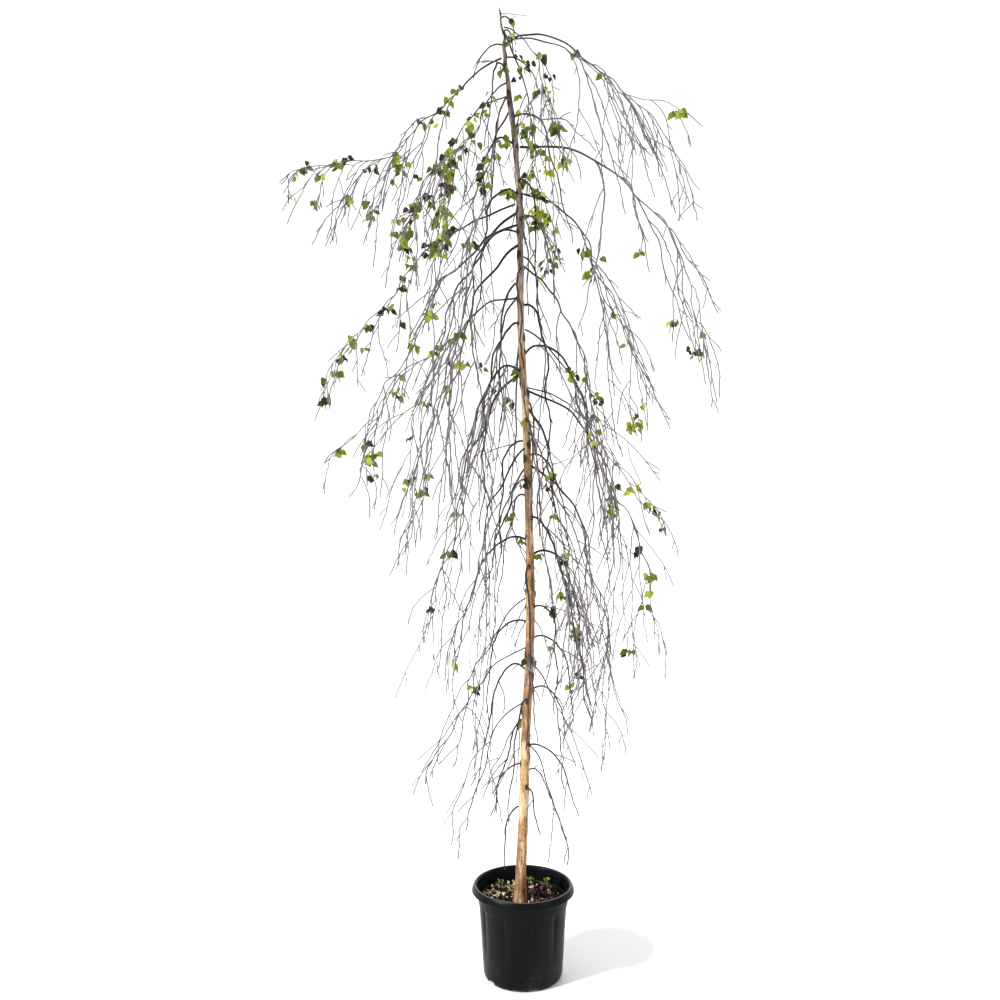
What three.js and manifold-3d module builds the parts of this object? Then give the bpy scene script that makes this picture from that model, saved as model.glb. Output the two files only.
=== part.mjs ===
// A young weeping birch in a nursery pot, standing on the pot's flat underside.
// Millimetres, +Z up. The origin is the middle of the pot's underside; the best side faces -Y.
//
// The plant is one trunk with a slight lean, arching boughs on it, and one mass of hanging twigs at the
// end of each of the larger boughs. The slim lower boughs are bare to their tips.
import * as THREE from "three";
import { mergeVertices } from "three/addons/utils/BufferGeometryUtils.js";
import Module from "manifold-3d";

const wasm = await Module();
wasm.setup();

// ---- Driving sizes ----------------------------------------------------------------------------

const FIT_GAP = 0.4; // left between pieces that meet face to face
const CLEARANCE = 3; // left round a bough or a mass that passes through another mass

const POT = {
  height: 336,
  baseRadius: 137, // where it stands
  heelRadius: 147, // at the top of the rounded heel
  heelHeight: 34,
  neckRadius: 169, // just under the rim
  rimRadius: 181.5, // at the top of the rim
  skirtRadius: 190, // at the lower edge of the rim's skirt
  skirtHeight: 25,
  wall: 3,
  floor: 6,
  segments: 40,
  panelTop: 267, // the moulded panels run from here down to panelFoot
  panelFoot: 62,
  panelDepth: 0.9,
  panelSegments: 4, // round each panel; a groove runs down between two panels
  grooveDepth: 2.2,
  slots: 5, // drainage notches round the heel
  slotBearing: 69.5,
  slotWidth: 43,
  slotHeight: 14,
  slotDepth: 24,
};

const SOIL = { top: 283, segments: 24 };

// The trunk's centre line and radius at a few heights above the underside of the pot.
const TRUNK = {
  sides: 10,
  rings: 17,
  flare: 7, // how far the root flare stands out at the soil
  flareHeight: 55,
  line: [
    // height, x, y, radius
    [SOIL.top + FIT_GAP, -13, -30, 20.5],
    [700, 5, -20, 17.8],
    [1000, 13, -12, 17.3],
    [1200, 26, -6, 17],
    [1700, 22, 0, 15.4],
    [2280, 0, 5, 12.9],
    [2420, -11, 5, 12.4],
    [2600, -9, 6, 11.8],
    [2900, -14, 6, 10.6],
    [3250, -49, 2, 9.2],
    [3500, -78, -2, 7.4],
    [3592, -90, -4, 3],
  ],
};

// One row for each bough. height: where its line meets the trunk's. bearing: degrees round from +X, with
// 90 at the back. reach and drop: its tip from there, outwards and down. leave and hang: the way it
// points at the trunk and at its tip, in degrees above level. spring and weep: how firmly it keeps those
// two ways, as shares of its reach and of the distance from end to end. mass: how thick its mass of
// hanging twigs is, or 0 for a bare bough.
const BOUGHS = [
  // height, bearing, reach, drop, leave, hang, spring, weep, mass
  [3430, 2, 740, 285, 65, -14, 0.28, 0.45, 42],
  [3440, 347, 690, 678, 60, -80, 0.28, 0.45, 44],
  [3495, 310, 300, 560, 10, -80, 0.4, 0.45, 50],
  [3480, 64, 420, 800, 35, -82, 0.35, 0.5, 42],
  [3365, 182, 845, 440, 30, -5, 0.27, 0.75, 38],
  [3300, 228, 330, 700, -10, -82, 0.4, 0.45, 52],
  [3230, 194, 400, 620, 30, -75, 0.35, 0.55, 38],
  [3180, 116, 520, 820, 35, -80, 0.35, 0.5, 38],
  [3063, 356, 690, 900, 8, -85, 0.5, 0.6, 46],
  [2880, 14, 460, 900, 15, -85, 0.5, 0.6, 44],
  [2860, 180, 735, 745, -12, -58, 0.45, 0.45, 42],
  [2800, 146, 560, 1120, 35, -82, 0.35, 0.5, 37],
  [2750, 196, 610, 980, 35, -76, 0.3, 0.5, 40],
  [2680, 218, 470, 1180, 35, -84, 0.3, 0.5, 50],
  [2600, 44, 540, 860, 35, -80, 0.35, 0.5, 42],
  [2500, 110, 520, 900, 35, -82, 0.35, 0.5, 38],
  [2465, 186, 690, 600, 65, -50, 0.28, 0.45, 40],
  [2380, 352, 330, 780, 5, -84, 0.45, 0.5, 46],
  [2210, 168, 350, 1180, 5, -84, 0.5, 0.55, 42],
  [2163, 338, 500, 560, 10, -60, 0.4, 0.45, 50],
  [2140, 8, 500, 980, 25, -85, 0.4, 0.5, 46],
  [2080, 60, 460, 1150, 35, -82, 0.35, 0.5, 40],
  [1990, 312, 210, 720, 35, -86, 0.5, 0.45, 50],
  [1930, 222, 340, 900, 30, -84, 0.35, 0.5, 52],
  [1870, 350, 300, 1040, 15, -97, 0.5, 0.5, 42],
  [1850, 120, 420, 860, 35, -82, 0.35, 0.5, 38],
  [1380, 172, 300, 620, 15, -78, 0.4, 0.45, 0],
  [1200, 190, 400, 480, 5, -62, 0.4, 0.45, 0],
  [1150, 352, 140, 470, 10, -86, 0.45, 0.45, 0],
  [990, 178, 215, 470, 25, -88, 0.45, 0.45, 0],
  [844, 8, 150, 450, 35, -85, 0.45, 0.45, 0],
].map(([height, bearing, reach, drop, leave, hang, spring, weep, mass]) => {
  return { height, bearing, reach, drop, leave, hang, spring, weep, mass };
});

const BOUGH = {
  sides: 6,
  spacing: 62, // between rings
  thickness: 0.0053, // radius at the trunk, for each millimetre of length
  least: 3.8, // the thinnest a bough starts
  tip: 1.5, // radius at a bare tip
  share: 0.36, // how much of a bough's length runs before its mass begins
  barkShare: 0.62, // a bough's thickness where its mass begins, as a share of its thickness at the trunk
};

const MASS = {
  sides: 8,
  rings: 8,
  depth: 1.5, // how deep it hangs into the arch, for each millimetre of thickness
  inward: 0.72, // how far its middle lies into the arch, as a share of its depth
  mouth: 0.3, // its thickness where it begins and where it ends, as shares of its full thickness
  tail: 0.16,
  lumps: 0.2,
};

const COLOURS = {
  pot: { color: 0x1b1c1e, roughness: 0.55, metalness: 0 },
  soil: { color: 0x33241a, roughness: 0.95, metalness: 0 },
  bark: { color: 0xb98a5c, roughness: 0.8, metalness: 0 },
  bough: { color: 0x3d3133, roughness: 0.75, metalness: 0 },
  twigs: { color: 0x8b7f7c, roughness: 0.85, metalness: 0 },
};

// ---- Solids -----------------------------------------------------------------------------------

// A closed three.js geometry as a manifold-3d solid.
function solidOf(geometry) {
  const bare = geometry.clone();
  bare.deleteAttribute("normal");
  bare.deleteAttribute("uv");
  const merged = mergeVertices(bare, 1e-3);
  return new wasm.Manifold(
    new wasm.Mesh({
      numProp: 3,
      vertProperties: new Float32Array(merged.getAttribute("position").array),
      triVerts: new Uint32Array(merged.index.array),
    }),
  );
}

// A solid back as a three.js geometry: its largest body, if cutting left crumbs.
function geometryOf(solid) {
  const bodies = solid.decompose().sort((a, b) => b.volume() - a.volume());
  const mesh = bodies[0].getMesh();
  const geometry = new THREE.BufferGeometry();
  geometry.setAttribute("position", new THREE.BufferAttribute(new Float32Array(mesh.vertProperties), 3));
  geometry.setIndex(new THREE.BufferAttribute(new Uint32Array(mesh.triVerts), 1));
  geometry.computeVertexNormals();
  return geometry;
}

// A closed cylinder whose rings are moved to the stations, from the first to the last. A station has its
// centre, the two half-axes across and normal, and a shape that gives a share of them for an angle.
function loft(stations, sides) {
  const rings = stations.length - 1;
  const geometry = new THREE.CylinderGeometry(1, 1, 1, sides, rings);
  const position = geometry.getAttribute("position");
  const point = new THREE.Vector3();
  for (let i = 0; i < position.count; i++) {
    const at = stations[Math.round((position.getY(i) + 0.5) * rings)];
    const x = position.getX(i);
    const z = position.getZ(i);
    const share = at.shape ? at.shape(Math.atan2(x, z)) : 1;
    point.copy(at.centre);
    point.addScaledVector(at.across, x * share);
    point.addScaledVector(at.normal, z * share);
    position.setXYZ(i, point.x, point.y, point.z);
  }
  return geometry;
}

// The same numbers between 0 and 1 each time, for one seed.
function randomFrom(seed) {
  let state = seed;
  return () => {
    state = (Math.imul(state, 1664525) + 1013904223) >>> 0;
    return state / 4294967296;
  };
}

// ---- Pot and soil -----------------------------------------------------------------------------

// The inside radius of the pot's wall at a height.
function insideRadius(height) {
  const up = (height - POT.heelHeight) / (POT.height - POT.skirtHeight - POT.heelHeight);
  return POT.heelRadius + (POT.neckRadius - POT.heelRadius) * up - POT.wall;
}

function potGeometry() {
  const skirtFoot = POT.height - POT.skirtHeight;
  const up = (height) => insideRadius(height) + POT.wall;
  const outside = [
    [POT.baseRadius, 0],
    [POT.baseRadius + 6, POT.heelHeight * 0.35],
    [POT.heelRadius, POT.heelHeight],
    [up(POT.panelFoot), POT.panelFoot],
    [up(POT.panelFoot + 60), POT.panelFoot + 60],
    [up(POT.panelTop - 3), POT.panelTop - 3],
    [up(POT.panelTop), POT.panelTop],
    [POT.neckRadius, skirtFoot],
    [POT.neckRadius + 4, POT.height - 10],
    [POT.skirtRadius - POT.wall - 3, skirtFoot + 2],
    [POT.skirtRadius - POT.wall, skirtFoot],
    [POT.skirtRadius, skirtFoot],
    [POT.rimRadius, POT.height - 3],
    [POT.rimRadius - 3, POT.height],
  ];
  const inside = [
    [POT.neckRadius + 4, POT.height - 3],
    [insideRadius(skirtFoot), skirtFoot],
    [insideRadius(POT.heelHeight), POT.heelHeight],
    [POT.baseRadius - POT.wall, POT.floor],
  ];
  const profile = [[0, 0], ...outside, ...inside, [0, POT.floor]];
  const points = profile.map(([radius, height]) => new THREE.Vector2(radius, height));
  const geometry = new THREE.LatheGeometry(points, POT.segments);
  const position = geometry.getAttribute("position");
  const step = (2 * Math.PI) / POT.segments;
  for (let i = 0; i < position.count; i++) {
    const radius = Math.hypot(position.getX(i), position.getZ(i));
    const height = position.getY(i);
    const turn = Math.round(Math.atan2(position.getX(i), position.getZ(i)) / step);
    const sunk = height > POT.panelFoot + 1 && height < POT.panelTop - 1 && radius > up(height) - 1;
    if (sunk) {
      const groove = (turn + POT.segments) % POT.panelSegments === 1;
      const share = 1 - (groove ? POT.grooveDepth : POT.panelDepth) / radius;
      position.setX(i, position.getX(i) * share);
      position.setZ(i, position.getZ(i) * share);
    }
  }
  geometry.rotateX(Math.PI / 2);
  let solid = solidOf(geometry);
  for (let i = 0; i < POT.slots; i++) {
    const notch = new THREE.BoxGeometry(POT.slotDepth, POT.slotWidth, POT.slotHeight);
    notch.translate(POT.baseRadius + POT.slotDepth / 2 - 8, 0, POT.slotHeight / 2 - 1);
    notch.rotateZ(THREE.MathUtils.degToRad(POT.slotBearing) + (i / POT.slots) * 2 * Math.PI);
    solid = solid.subtract(solidOf(notch));
  }
  return geometryOf(solid);
}

function soilGeometry() {
  const foot = POT.floor + FIT_GAP;
  const profile = [
    [0, foot],
    [POT.baseRadius - POT.wall - 4, foot],
    [insideRadius(POT.heelHeight) - 2, POT.heelHeight + 2],
    [insideRadius(SOIL.top) - 1.2, SOIL.top - 4],
    [insideRadius(SOIL.top) - 6, SOIL.top - 1],
    [TRUNK.line[0][3] * 3, SOIL.top],
    [0, SOIL.top],
  ];
  const points = profile.map(([radius, height]) => new THREE.Vector2(radius, height));
  return new THREE.LatheGeometry(points, SOIL.segments).rotateX(Math.PI / 2);
}

// ---- Trunk ------------------------------------------------------------------------------------

const trunkCurve = new THREE.CatmullRomCurve3(
  TRUNK.line.map(([height, x, y]) => new THREE.Vector3(x, y, height)),
);

// The trunk's centre and radius at a height.
function trunkAt(height) {
  let low = 0;
  let high = 1;
  for (let i = 0; i < 30; i++) {
    const middle = (low + high) / 2;
    if (trunkCurve.getPoint(middle).z < height) low = middle;
    else high = middle;
  }
  const centre = trunkCurve.getPoint(low);
  centre.z = height;
  let i = 1;
  while (i < TRUNK.line.length - 1 && TRUNK.line[i][0] < height) i++;
  const [lowHeight, , , lowRadius] = TRUNK.line[i - 1];
  const [highHeight, , , highRadius] = TRUNK.line[i];
  const radius = THREE.MathUtils.mapLinear(height, lowHeight, highHeight, lowRadius, highRadius);
  const above = (height - SOIL.top) / TRUNK.flareHeight;
  return { centre, radius: radius + TRUNK.flare * Math.exp(-above * above) };
}

function trunkGeometry(grown = 0) {
  const foot = TRUNK.line[0][0];
  const top = TRUNK.line.at(-1)[0];
  const bend = TRUNK.flareHeight * 2;
  const stations = [];
  for (let i = 0; i <= TRUNK.rings; i++) {
    const flareRings = 4;
    const height =
      i < flareRings
        ? foot + (bend * i) / flareRings
        : foot + bend + ((top - foot - bend) * (i - flareRings)) / (TRUNK.rings - flareRings);
    const { centre, radius } = trunkAt(height);
    stations.push({
      centre,
      across: new THREE.Vector3(0, radius + grown, 0),
      normal: new THREE.Vector3(radius + grown, 0, 0),
    });
  }
  return loft(stations, TRUNK.sides);
}

// ---- Boughs and masses ------------------------------------------------------------------------

// A bough's whole line, from the trunk's centre line to the tip of its hanging end.
function boughCurve({ height, bearing, reach, drop, leave, hang, spring, weep }) {
  const start = trunkAt(height).centre;
  const turn = THREE.MathUtils.degToRad(bearing);
  const out = new THREE.Vector3(Math.cos(turn), Math.sin(turn), 0);
  const pointing = (degrees) => {
    const angle = THREE.MathUtils.degToRad(degrees);
    return out.clone().multiplyScalar(Math.cos(angle)).setZ(Math.sin(angle));
  };
  const tip = start.clone().addScaledVector(out, reach).setZ(height - drop);
  const first = start.clone().addScaledVector(pointing(leave), reach * spring);
  const distance = Math.hypot(reach, drop);
  const second = tip.clone().addScaledVector(pointing(hang), -distance * weep);
  return new THREE.CubicBezierCurve3(start, first, second, tip);
}

// Where a bough's line lies and faces at a share of its length: across is level, and normal points into
// the arch, so it is down where the bough runs level and inwards where it hangs.
function placeOn(curve, share) {
  const along = curve.getTangentAt(share);
  const across = new THREE.Vector3(along.y, -along.x, 0).normalize();
  const normal = across.clone().cross(along).normalize();
  return { centre: curve.getPointAt(share), across, normal };
}

function boughGeometry(row, curve, grown = 0) {
  const length = curve.getLength();
  const thick = Math.max(BOUGH.least, length * BOUGH.thickness);
  const end = row.mass ? BOUGH.share : 1;
  const thin = row.mass ? thick * BOUGH.barkShare : BOUGH.tip;
  const rings = Math.max(3, Math.round((length * end) / BOUGH.spacing));
  const stations = [];
  for (let i = 0; i <= rings; i++) {
    const { centre, across, normal } = placeOn(curve, (end * i) / rings);
    const radius = thick + (thin - thick) * Math.pow(i / rings, 0.8) + grown;
    stations.push({
      centre,
      across: across.multiplyScalar(radius),
      normal: normal.multiplyScalar(radius),
    });
  }
  return loft(stations, BOUGH.sides);
}

// The mass of hanging twigs that carries on from a bough. It lies mostly inside the arch, where the
// twigs hang, and narrows to the lowest tips.
function massGeometry(row, curve, seed, grown = 0) {
  const random = randomFrom(seed);
  const phases = [0, 1, 2].map(() => random() * 2 * Math.PI);
  const begin = BOUGH.share + FIT_GAP / curve.getLength();
  const stations = [];
  for (let i = 0; i <= MASS.rings; i++) {
    const step = i / MASS.rings;
    const { centre, across, normal } = placeOn(curve, begin + (1 - begin) * step);
    const belly = Math.pow(Math.sin(Math.PI * (0.12 + 0.8 * step)), 0.8);
    const ends = step < 0.5 ? MASS.mouth : MASS.tail;
    const thick = row.mass * Math.max(ends, belly) * (0.8 + 0.4 * random());
    const deep = thick * MASS.depth;
    const uneven = (angle) =>
      1 +
      MASS.lumps * Math.sin(2 * angle + phases[0] + 2.2 * step * Math.PI) +
      MASS.lumps * 0.7 * Math.sin(3 * angle + phases[1] - 4 * step * Math.PI) +
      MASS.lumps * 0.5 * Math.sin(5 * angle + phases[2]);
    centre.addScaledVector(normal, deep * MASS.inward);
    stations.push({
      centre,
      across: across.multiplyScalar(thick + grown),
      normal: normal.multiplyScalar(deep + grown),
      shape: uneven,
    });
  }
  return loft(stations, MASS.sides);
}

// ---- Assembly ---------------------------------------------------------------------------------

const tree = new THREE.Group();
tree.name = "weeping_birch";

function add(name, geometry, look) {
  const mesh = new THREE.Mesh(geometry, new THREE.MeshStandardMaterial(COLOURS[look]));
  mesh.name = name;
  tree.add(mesh);
}

add("pot", potGeometry(), "pot");
add("soil", soilGeometry(), "soil");
add("trunk", trunkGeometry(), "bark");

const numbered = BOUGHS.map((row, i) => {
  const number = String(i + 1).padStart(2, "0");
  return { row, number, seed: 101 + 7 * i, curve: boughCurve(row) };
});
const nearBoughs = numbered.map(({ row, curve }) => solidOf(boughGeometry(row, curve, CLEARANCE)));

// Each bough is cut to meet the trunk, and round any bough before it that leaves the trunk beside it.
let standing = solidOf(trunkGeometry(FIT_GAP));
for (const { row, number, curve } of numbered) {
  add(`bough_${number}`, geometryOf(solidOf(boughGeometry(row, curve)).subtract(standing)), "bough");
  standing = standing.add(solidOf(boughGeometry(row, curve, FIT_GAP)));
}

// Each mass is cut round the trunk, the boughs that pass through it, and the masses made before it.
let taken = solidOf(trunkGeometry(CLEARANCE));
numbered.forEach(({ row, number, seed, curve }, i) => {
  if (!row.mass) return;
  let mass = solidOf(massGeometry(row, curve, seed)).subtract(taken);
  nearBoughs.forEach((bough, j) => {
    if (j !== i) mass = mass.subtract(bough);
  });
  add(`mass_${number}`, geometryOf(mass), "twigs");
  taken = taken.add(solidOf(massGeometry(row, curve, seed, CLEARANCE)));
});

export default tree;
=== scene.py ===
"""A young weeping birch in a black nursery pot, dressed around its fixed frame of plain solids.

The trunk and the boughs get barked limbs that follow the frame's own lines. Each mass of the crown is
replaced by the leading shoot that carries its bough on, with hanging side shoots, finer twigs, buds and
leaves grown from it by one seeded rule. Sizes are in metres and +Z is up.
"""

import functools
import math
import random

import bpy
import numpy as np
from bpy.props import FloatProperty, FloatVectorProperty, IntProperty, PointerProperty
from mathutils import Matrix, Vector


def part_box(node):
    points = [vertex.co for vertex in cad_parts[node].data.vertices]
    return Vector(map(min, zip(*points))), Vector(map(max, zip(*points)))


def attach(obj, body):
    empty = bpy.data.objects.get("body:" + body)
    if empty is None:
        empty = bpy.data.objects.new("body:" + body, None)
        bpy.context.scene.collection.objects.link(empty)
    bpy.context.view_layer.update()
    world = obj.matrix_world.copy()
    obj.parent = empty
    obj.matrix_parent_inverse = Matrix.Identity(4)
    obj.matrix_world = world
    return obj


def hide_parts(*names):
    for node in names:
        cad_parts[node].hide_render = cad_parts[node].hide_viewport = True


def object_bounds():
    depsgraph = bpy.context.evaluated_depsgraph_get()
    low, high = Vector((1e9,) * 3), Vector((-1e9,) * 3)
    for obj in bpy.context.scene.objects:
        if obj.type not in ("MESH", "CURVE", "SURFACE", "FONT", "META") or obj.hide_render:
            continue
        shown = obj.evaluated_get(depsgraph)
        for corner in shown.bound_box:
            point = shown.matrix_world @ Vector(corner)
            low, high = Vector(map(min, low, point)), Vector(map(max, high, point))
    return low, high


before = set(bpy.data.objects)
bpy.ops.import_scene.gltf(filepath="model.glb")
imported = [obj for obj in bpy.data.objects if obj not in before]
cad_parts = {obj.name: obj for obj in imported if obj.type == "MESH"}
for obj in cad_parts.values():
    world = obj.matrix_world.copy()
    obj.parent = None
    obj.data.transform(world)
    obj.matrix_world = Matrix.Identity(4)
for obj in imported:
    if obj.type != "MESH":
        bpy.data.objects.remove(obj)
CAD_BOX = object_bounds()

bl_info = {
    "name": "Weeping Birch in a Pot",
    "version": (1, 0, 0),
    "blender": (4, 5, 0),
    "location": "3D View > Sidebar > Birch",
    "description": "Grows bark, boughs, hanging twigs, buds and leaves on a potted weeping birch",
    "category": "Add Mesh",
}

UP = Vector((0, 0, 1))
BOUGHS = sorted(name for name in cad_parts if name.startswith("bough_"))
MASSES = sorted(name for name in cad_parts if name.startswith("mass_"))
POT_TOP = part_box("pot")[1][2]
SOIL_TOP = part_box("soil")[1][2]


def size(name, default, description, unit="LENGTH"):
    """One adjustable number."""
    return FloatProperty(name=name, default=default, description=description, unit=unit, precision=4)


def tint(name, default, description):
    """One adjustable colour."""
    return FloatVectorProperty(
        name=name, default=default, description=description, subtype="COLOR", size=3, min=0, max=1
    )


class PotSettings(bpy.types.PropertyGroup):
    """Sizes and colours of the nursery pot."""

    height: size("Height", POT_TOP, "From the floor to the top of the rim")
    base: size("Base radius", 0.137, "Radius of the foot that it stands on")
    heel: size("Heel radius", 0.147, "Radius at the top of the rounded heel")
    neck: size("Neck radius", 0.169, "Radius of the wall just under the rim")
    skirt: size("Skirt radius", 0.190, "Radius at the lower edge of the rim's skirt")
    panel_depth: size("Panel depth", 0.0022, "How far the moulded panels lie below the plain band")
    groove_depth: size("Groove depth", 0.0052, "How much deeper the groove between two panels is")
    panels: IntProperty(name="Panels", default=10, min=3, description="How many panels go round the wall")
    notches: IntProperty(name="Notches", default=5, min=1, description="Drainage notches round the heel")
    colour: tint("Plastic", (0.0036, 0.0042, 0.0052), "Colour of the clean plastic")
    # This pale colour shows the scuffed plastic and also paints the highlight along the lip and part of the
    # foot.
    rubbed_and_highlit: tint("Rubbed plastic", (0.15, 0.155, 0.16), "Colour of its rubbed lip and scuffs")
    dust: tint("Dust", (0.13, 0.11, 0.09), "Colour of the dry soil dust on the plastic")


class MixSettings(bpy.types.PropertyGroup):
    """The potting mix and what lies on it."""

    seed: IntProperty(name="Seed", default=11, description="Changes how the chips lie")
    chips: IntProperty(name="Chips", default=460, min=0, description="How many chips lie on the surface")
    soil: tint("Potting mix", (0.0045, 0.0032, 0.0026), "Colour of the moist mix")
    bark: tint("Bark chips", (0.20, 0.070, 0.040), "Colour of the reddish bark chips")
    wood: tint("Wood chips", (0.86, 0.70, 0.46), "Colour of the pale wood chips")


class BarkSettings(bpy.types.PropertyGroup):
    """Colours and relief of the trunk and the boughs."""

    relief: size("Relief", 0.0024, "Height of the peeling flakes on the trunk")
    tan: tint("Tan bark", (0.43, 0.225, 0.090), "Main colour of the lower trunk")
    pale: tint("Pale bark", (0.82, 0.60, 0.36), "Freshly peeled and sun-bleached bark")
    rust: tint("Rust bark", (0.22, 0.080, 0.028), "Reddish streaks and flake edges")
    upper: tint("Upper bark", (0.19, 0.145, 0.135), "Main colour towards the top")
    scar: tint("Scars", (0.014, 0.010, 0.009), "Cracks, pores and the scars round each bough")
    bough: tint("Boughs", (0.012, 0.009, 0.010), "Smooth dark bark of the boughs by the trunk")
    bloom: tint("Bough tips", (0.215, 0.190, 0.195), "Grey bark of the boughs further out")


class TwigSettings(bpy.types.PropertyGroup):
    """How the hanging twigs grow."""

    seed: IntProperty(name="Seed", default=7, description="Changes how every twig grows")
    trunk_spacing: size("Trunk shoot spacing", 0.070, "Between the slim shoots that leave the trunk")
    spacing: size("Side shoot spacing", 0.055, "Between side shoots along a bough")
    longest: size("Longest side shoot", 0.66, "No side shoot grows longer than this")
    twig_spacing: size("Twig spacing", 0.104, "Between fine twigs along a side shoot")
    bud_length: size("Bud length", 0.0070, "Length of one bud")
    shoot: tint("Side shoots", (0.122, 0.112, 0.124), "Bark of the side shoots")
    twig: tint("Fine twigs", (0.175, 0.162, 0.178), "Bark of the finest twigs")
    bud: tint("Buds", (0.060, 0.040, 0.035), "Colour of the buds")


class LeafSettings(bpy.types.PropertyGroup):
    """Size and colours of the leaves that are left."""

    seed: IntProperty(name="Seed", default=23, description="Changes where the leaves hang")
    length: size("Leaf length", 0.030, "Blade of a full-grown leaf")
    amount: FloatProperty(name="Amount", default=0.88, min=0, description="More or fewer leafy nodes")
    # Lime stands partly for young leaves and partly for sunlit ones: painted light.
    lime: tint("Lime", (0.32, 0.36, 0.032), "Youngest and sunniest leaves")
    green: tint("Green", (0.125, 0.172, 0.020), "Most leaves")
    # Dark green stands partly for old leaves and partly for leaves in shade: painted shade.
    dark: tint("Dark green", (0.022, 0.037, 0.008), "Old leaves in the shade")
    dry: tint("Dry", (0.045, 0.028, 0.016), "Dead leaves and old catkins")


class StageSettings(bpy.types.PropertyGroup):
    """The floor, the lights and the camera."""

    floor: tint("Floor", (0.93, 0.93, 0.93), "Colour of the floor and backdrop")
    sun: FloatProperty(name="Sun", default=3.7, min=0, description="Strength of the sun from the left")
    fill: FloatProperty(name="Fill light", default=30, min=0, unit="POWER", description="Fill light's power")
    sky: FloatProperty(name="Sky", default=0.6, min=0, description="Strength of the even light all round")
    lens: FloatProperty(name="Lens", default=34.5, min=1, unit="CAMERA", description="Focal length")


class BirchSettings(bpy.types.PropertyGroup):
    """All settings of the birch."""

    pot: PointerProperty(type=PotSettings)
    mix: PointerProperty(type=MixSettings)
    bark: PointerProperty(type=BarkSettings)
    twigs: PointerProperty(type=TwigSettings)
    leaves: PointerProperty(type=LeafSettings)
    stage: PointerProperty(type=StageSettings)


# ---- Finishes -----------------------------------------------------------------------------------


class Strand:
    """One socket of a finish, so that shader maths reads as plain arithmetic."""

    def __init__(self, finish, socket):
        self.finish = finish
        self.socket = socket

    def maths(self, operation, *values):
        inputs = dict(enumerate(values))
        return self.finish.node("ShaderNodeMath", {"operation": operation}, inputs)

    def __add__(self, other):
        return self.maths("ADD", self, other)

    def __radd__(self, other):
        return self.maths("ADD", other, self)

    def __sub__(self, other):
        return self.maths("SUBTRACT", self, other)

    def __rsub__(self, other):
        return self.maths("SUBTRACT", other, self)

    def __mul__(self, other):
        return self.maths("MULTIPLY", self, other)

    def __rmul__(self, other):
        return self.maths("MULTIPLY", other, self)

    def __abs__(self):
        return self.maths("ABSOLUTE", self)


class Finish:
    """A material and the few ways in which this tree's patterns are made."""

    def __init__(self, name, colour=(0.5, 0.5, 0.5), roughness=0.6, **fixed):
        self.material = bpy.data.materials.new(name)
        self.material.use_nodes = True
        self.tree = self.material.node_tree
        self.shader = self.tree.nodes["Principled BSDF"]
        self.feed("Base Color", (*colour, 1))
        self.feed("Roughness", roughness)
        for socket, value in fixed.items():
            self.feed(socket.replace("_", " "), value)
        self.material.diffuse_color = (*colour, 1)

    def put(self, socket, value):
        if isinstance(value, Strand):
            self.tree.links.new(value.socket, socket)
        else:
            socket.default_value = value

    def node(self, kind, settings=None, inputs=None, output=0):
        """Adds a node: its settings first, then the values or links of its sockets."""
        node = self.tree.nodes.new(kind)
        for key, value in (settings or {}).items():
            if key == "stops":
                ramp = node.color_ramp.elements
                while len(ramp) < len(value):
                    ramp.new(1)
                for stop, (place, colour) in zip(ramp, value):
                    stop.position = place
                    stop.color = (*colour, 1)
            else:
                setattr(node, key, value)
        for key, value in (inputs or {}).items():
            self.put(node.inputs[key], value)
        return Strand(self, node.outputs[output])

    def feed(self, socket, value):
        self.put(self.shader.inputs[socket], value)

    def place(self, stretch=(1, 1, 1)):
        """The object's own coordinates, stretched."""
        here = self.node("ShaderNodeTexCoord", output=3)
        return self.node("ShaderNodeMapping", inputs={0: here, 3: stretch})

    def height(self):
        """Height above the floor."""
        return self.node("ShaderNodeSeparateXYZ", inputs={0: self.place()}, output=2)

    def noise(self, scale, stretch=(1, 1, 1), detail=3, roughness=0.55, distortion=0):
        inputs = {
            "Vector": self.place(stretch),
            "Scale": scale,
            "Detail": detail,
            "Roughness": roughness,
            "Distortion": distortion,
        }
        return self.node("ShaderNodeTexNoise", inputs=inputs)

    def cells(self, scale, stretch=(1, 1, 1), feature="F1"):
        inputs = {"Vector": self.place(stretch), "Scale": scale}
        return self.node("ShaderNodeTexVoronoi", {"feature": feature}, inputs)

    def spread(self, value, low, high):
        """0 at low, 1 at high, with a soft start and end."""
        inputs = {0: value, 1: low, 2: high}
        return self.node("ShaderNodeMapRange", {"interpolation_type": "SMOOTHSTEP"}, inputs)

    def blend(self, share, first, second):
        """The first colour where share is 0 and the second where it is 1."""
        first, second = (c if isinstance(c, Strand) else (*c, 1) for c in (first, second))
        inputs = {0: share, 6: first, 7: second}
        return self.node("ShaderNodeMix", {"data_type": "RGBA"}, inputs, output=2)

    def bump(self, height, strength, distance):
        inputs = {"Height": height, "Strength": strength, "Distance": distance}
        self.feed("Normal", self.node("ShaderNodeBump", inputs=inputs))


def shade(colour, share):
    """A darker or lighter tone of a colour."""
    return tuple(share * c for c in colour)


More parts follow.
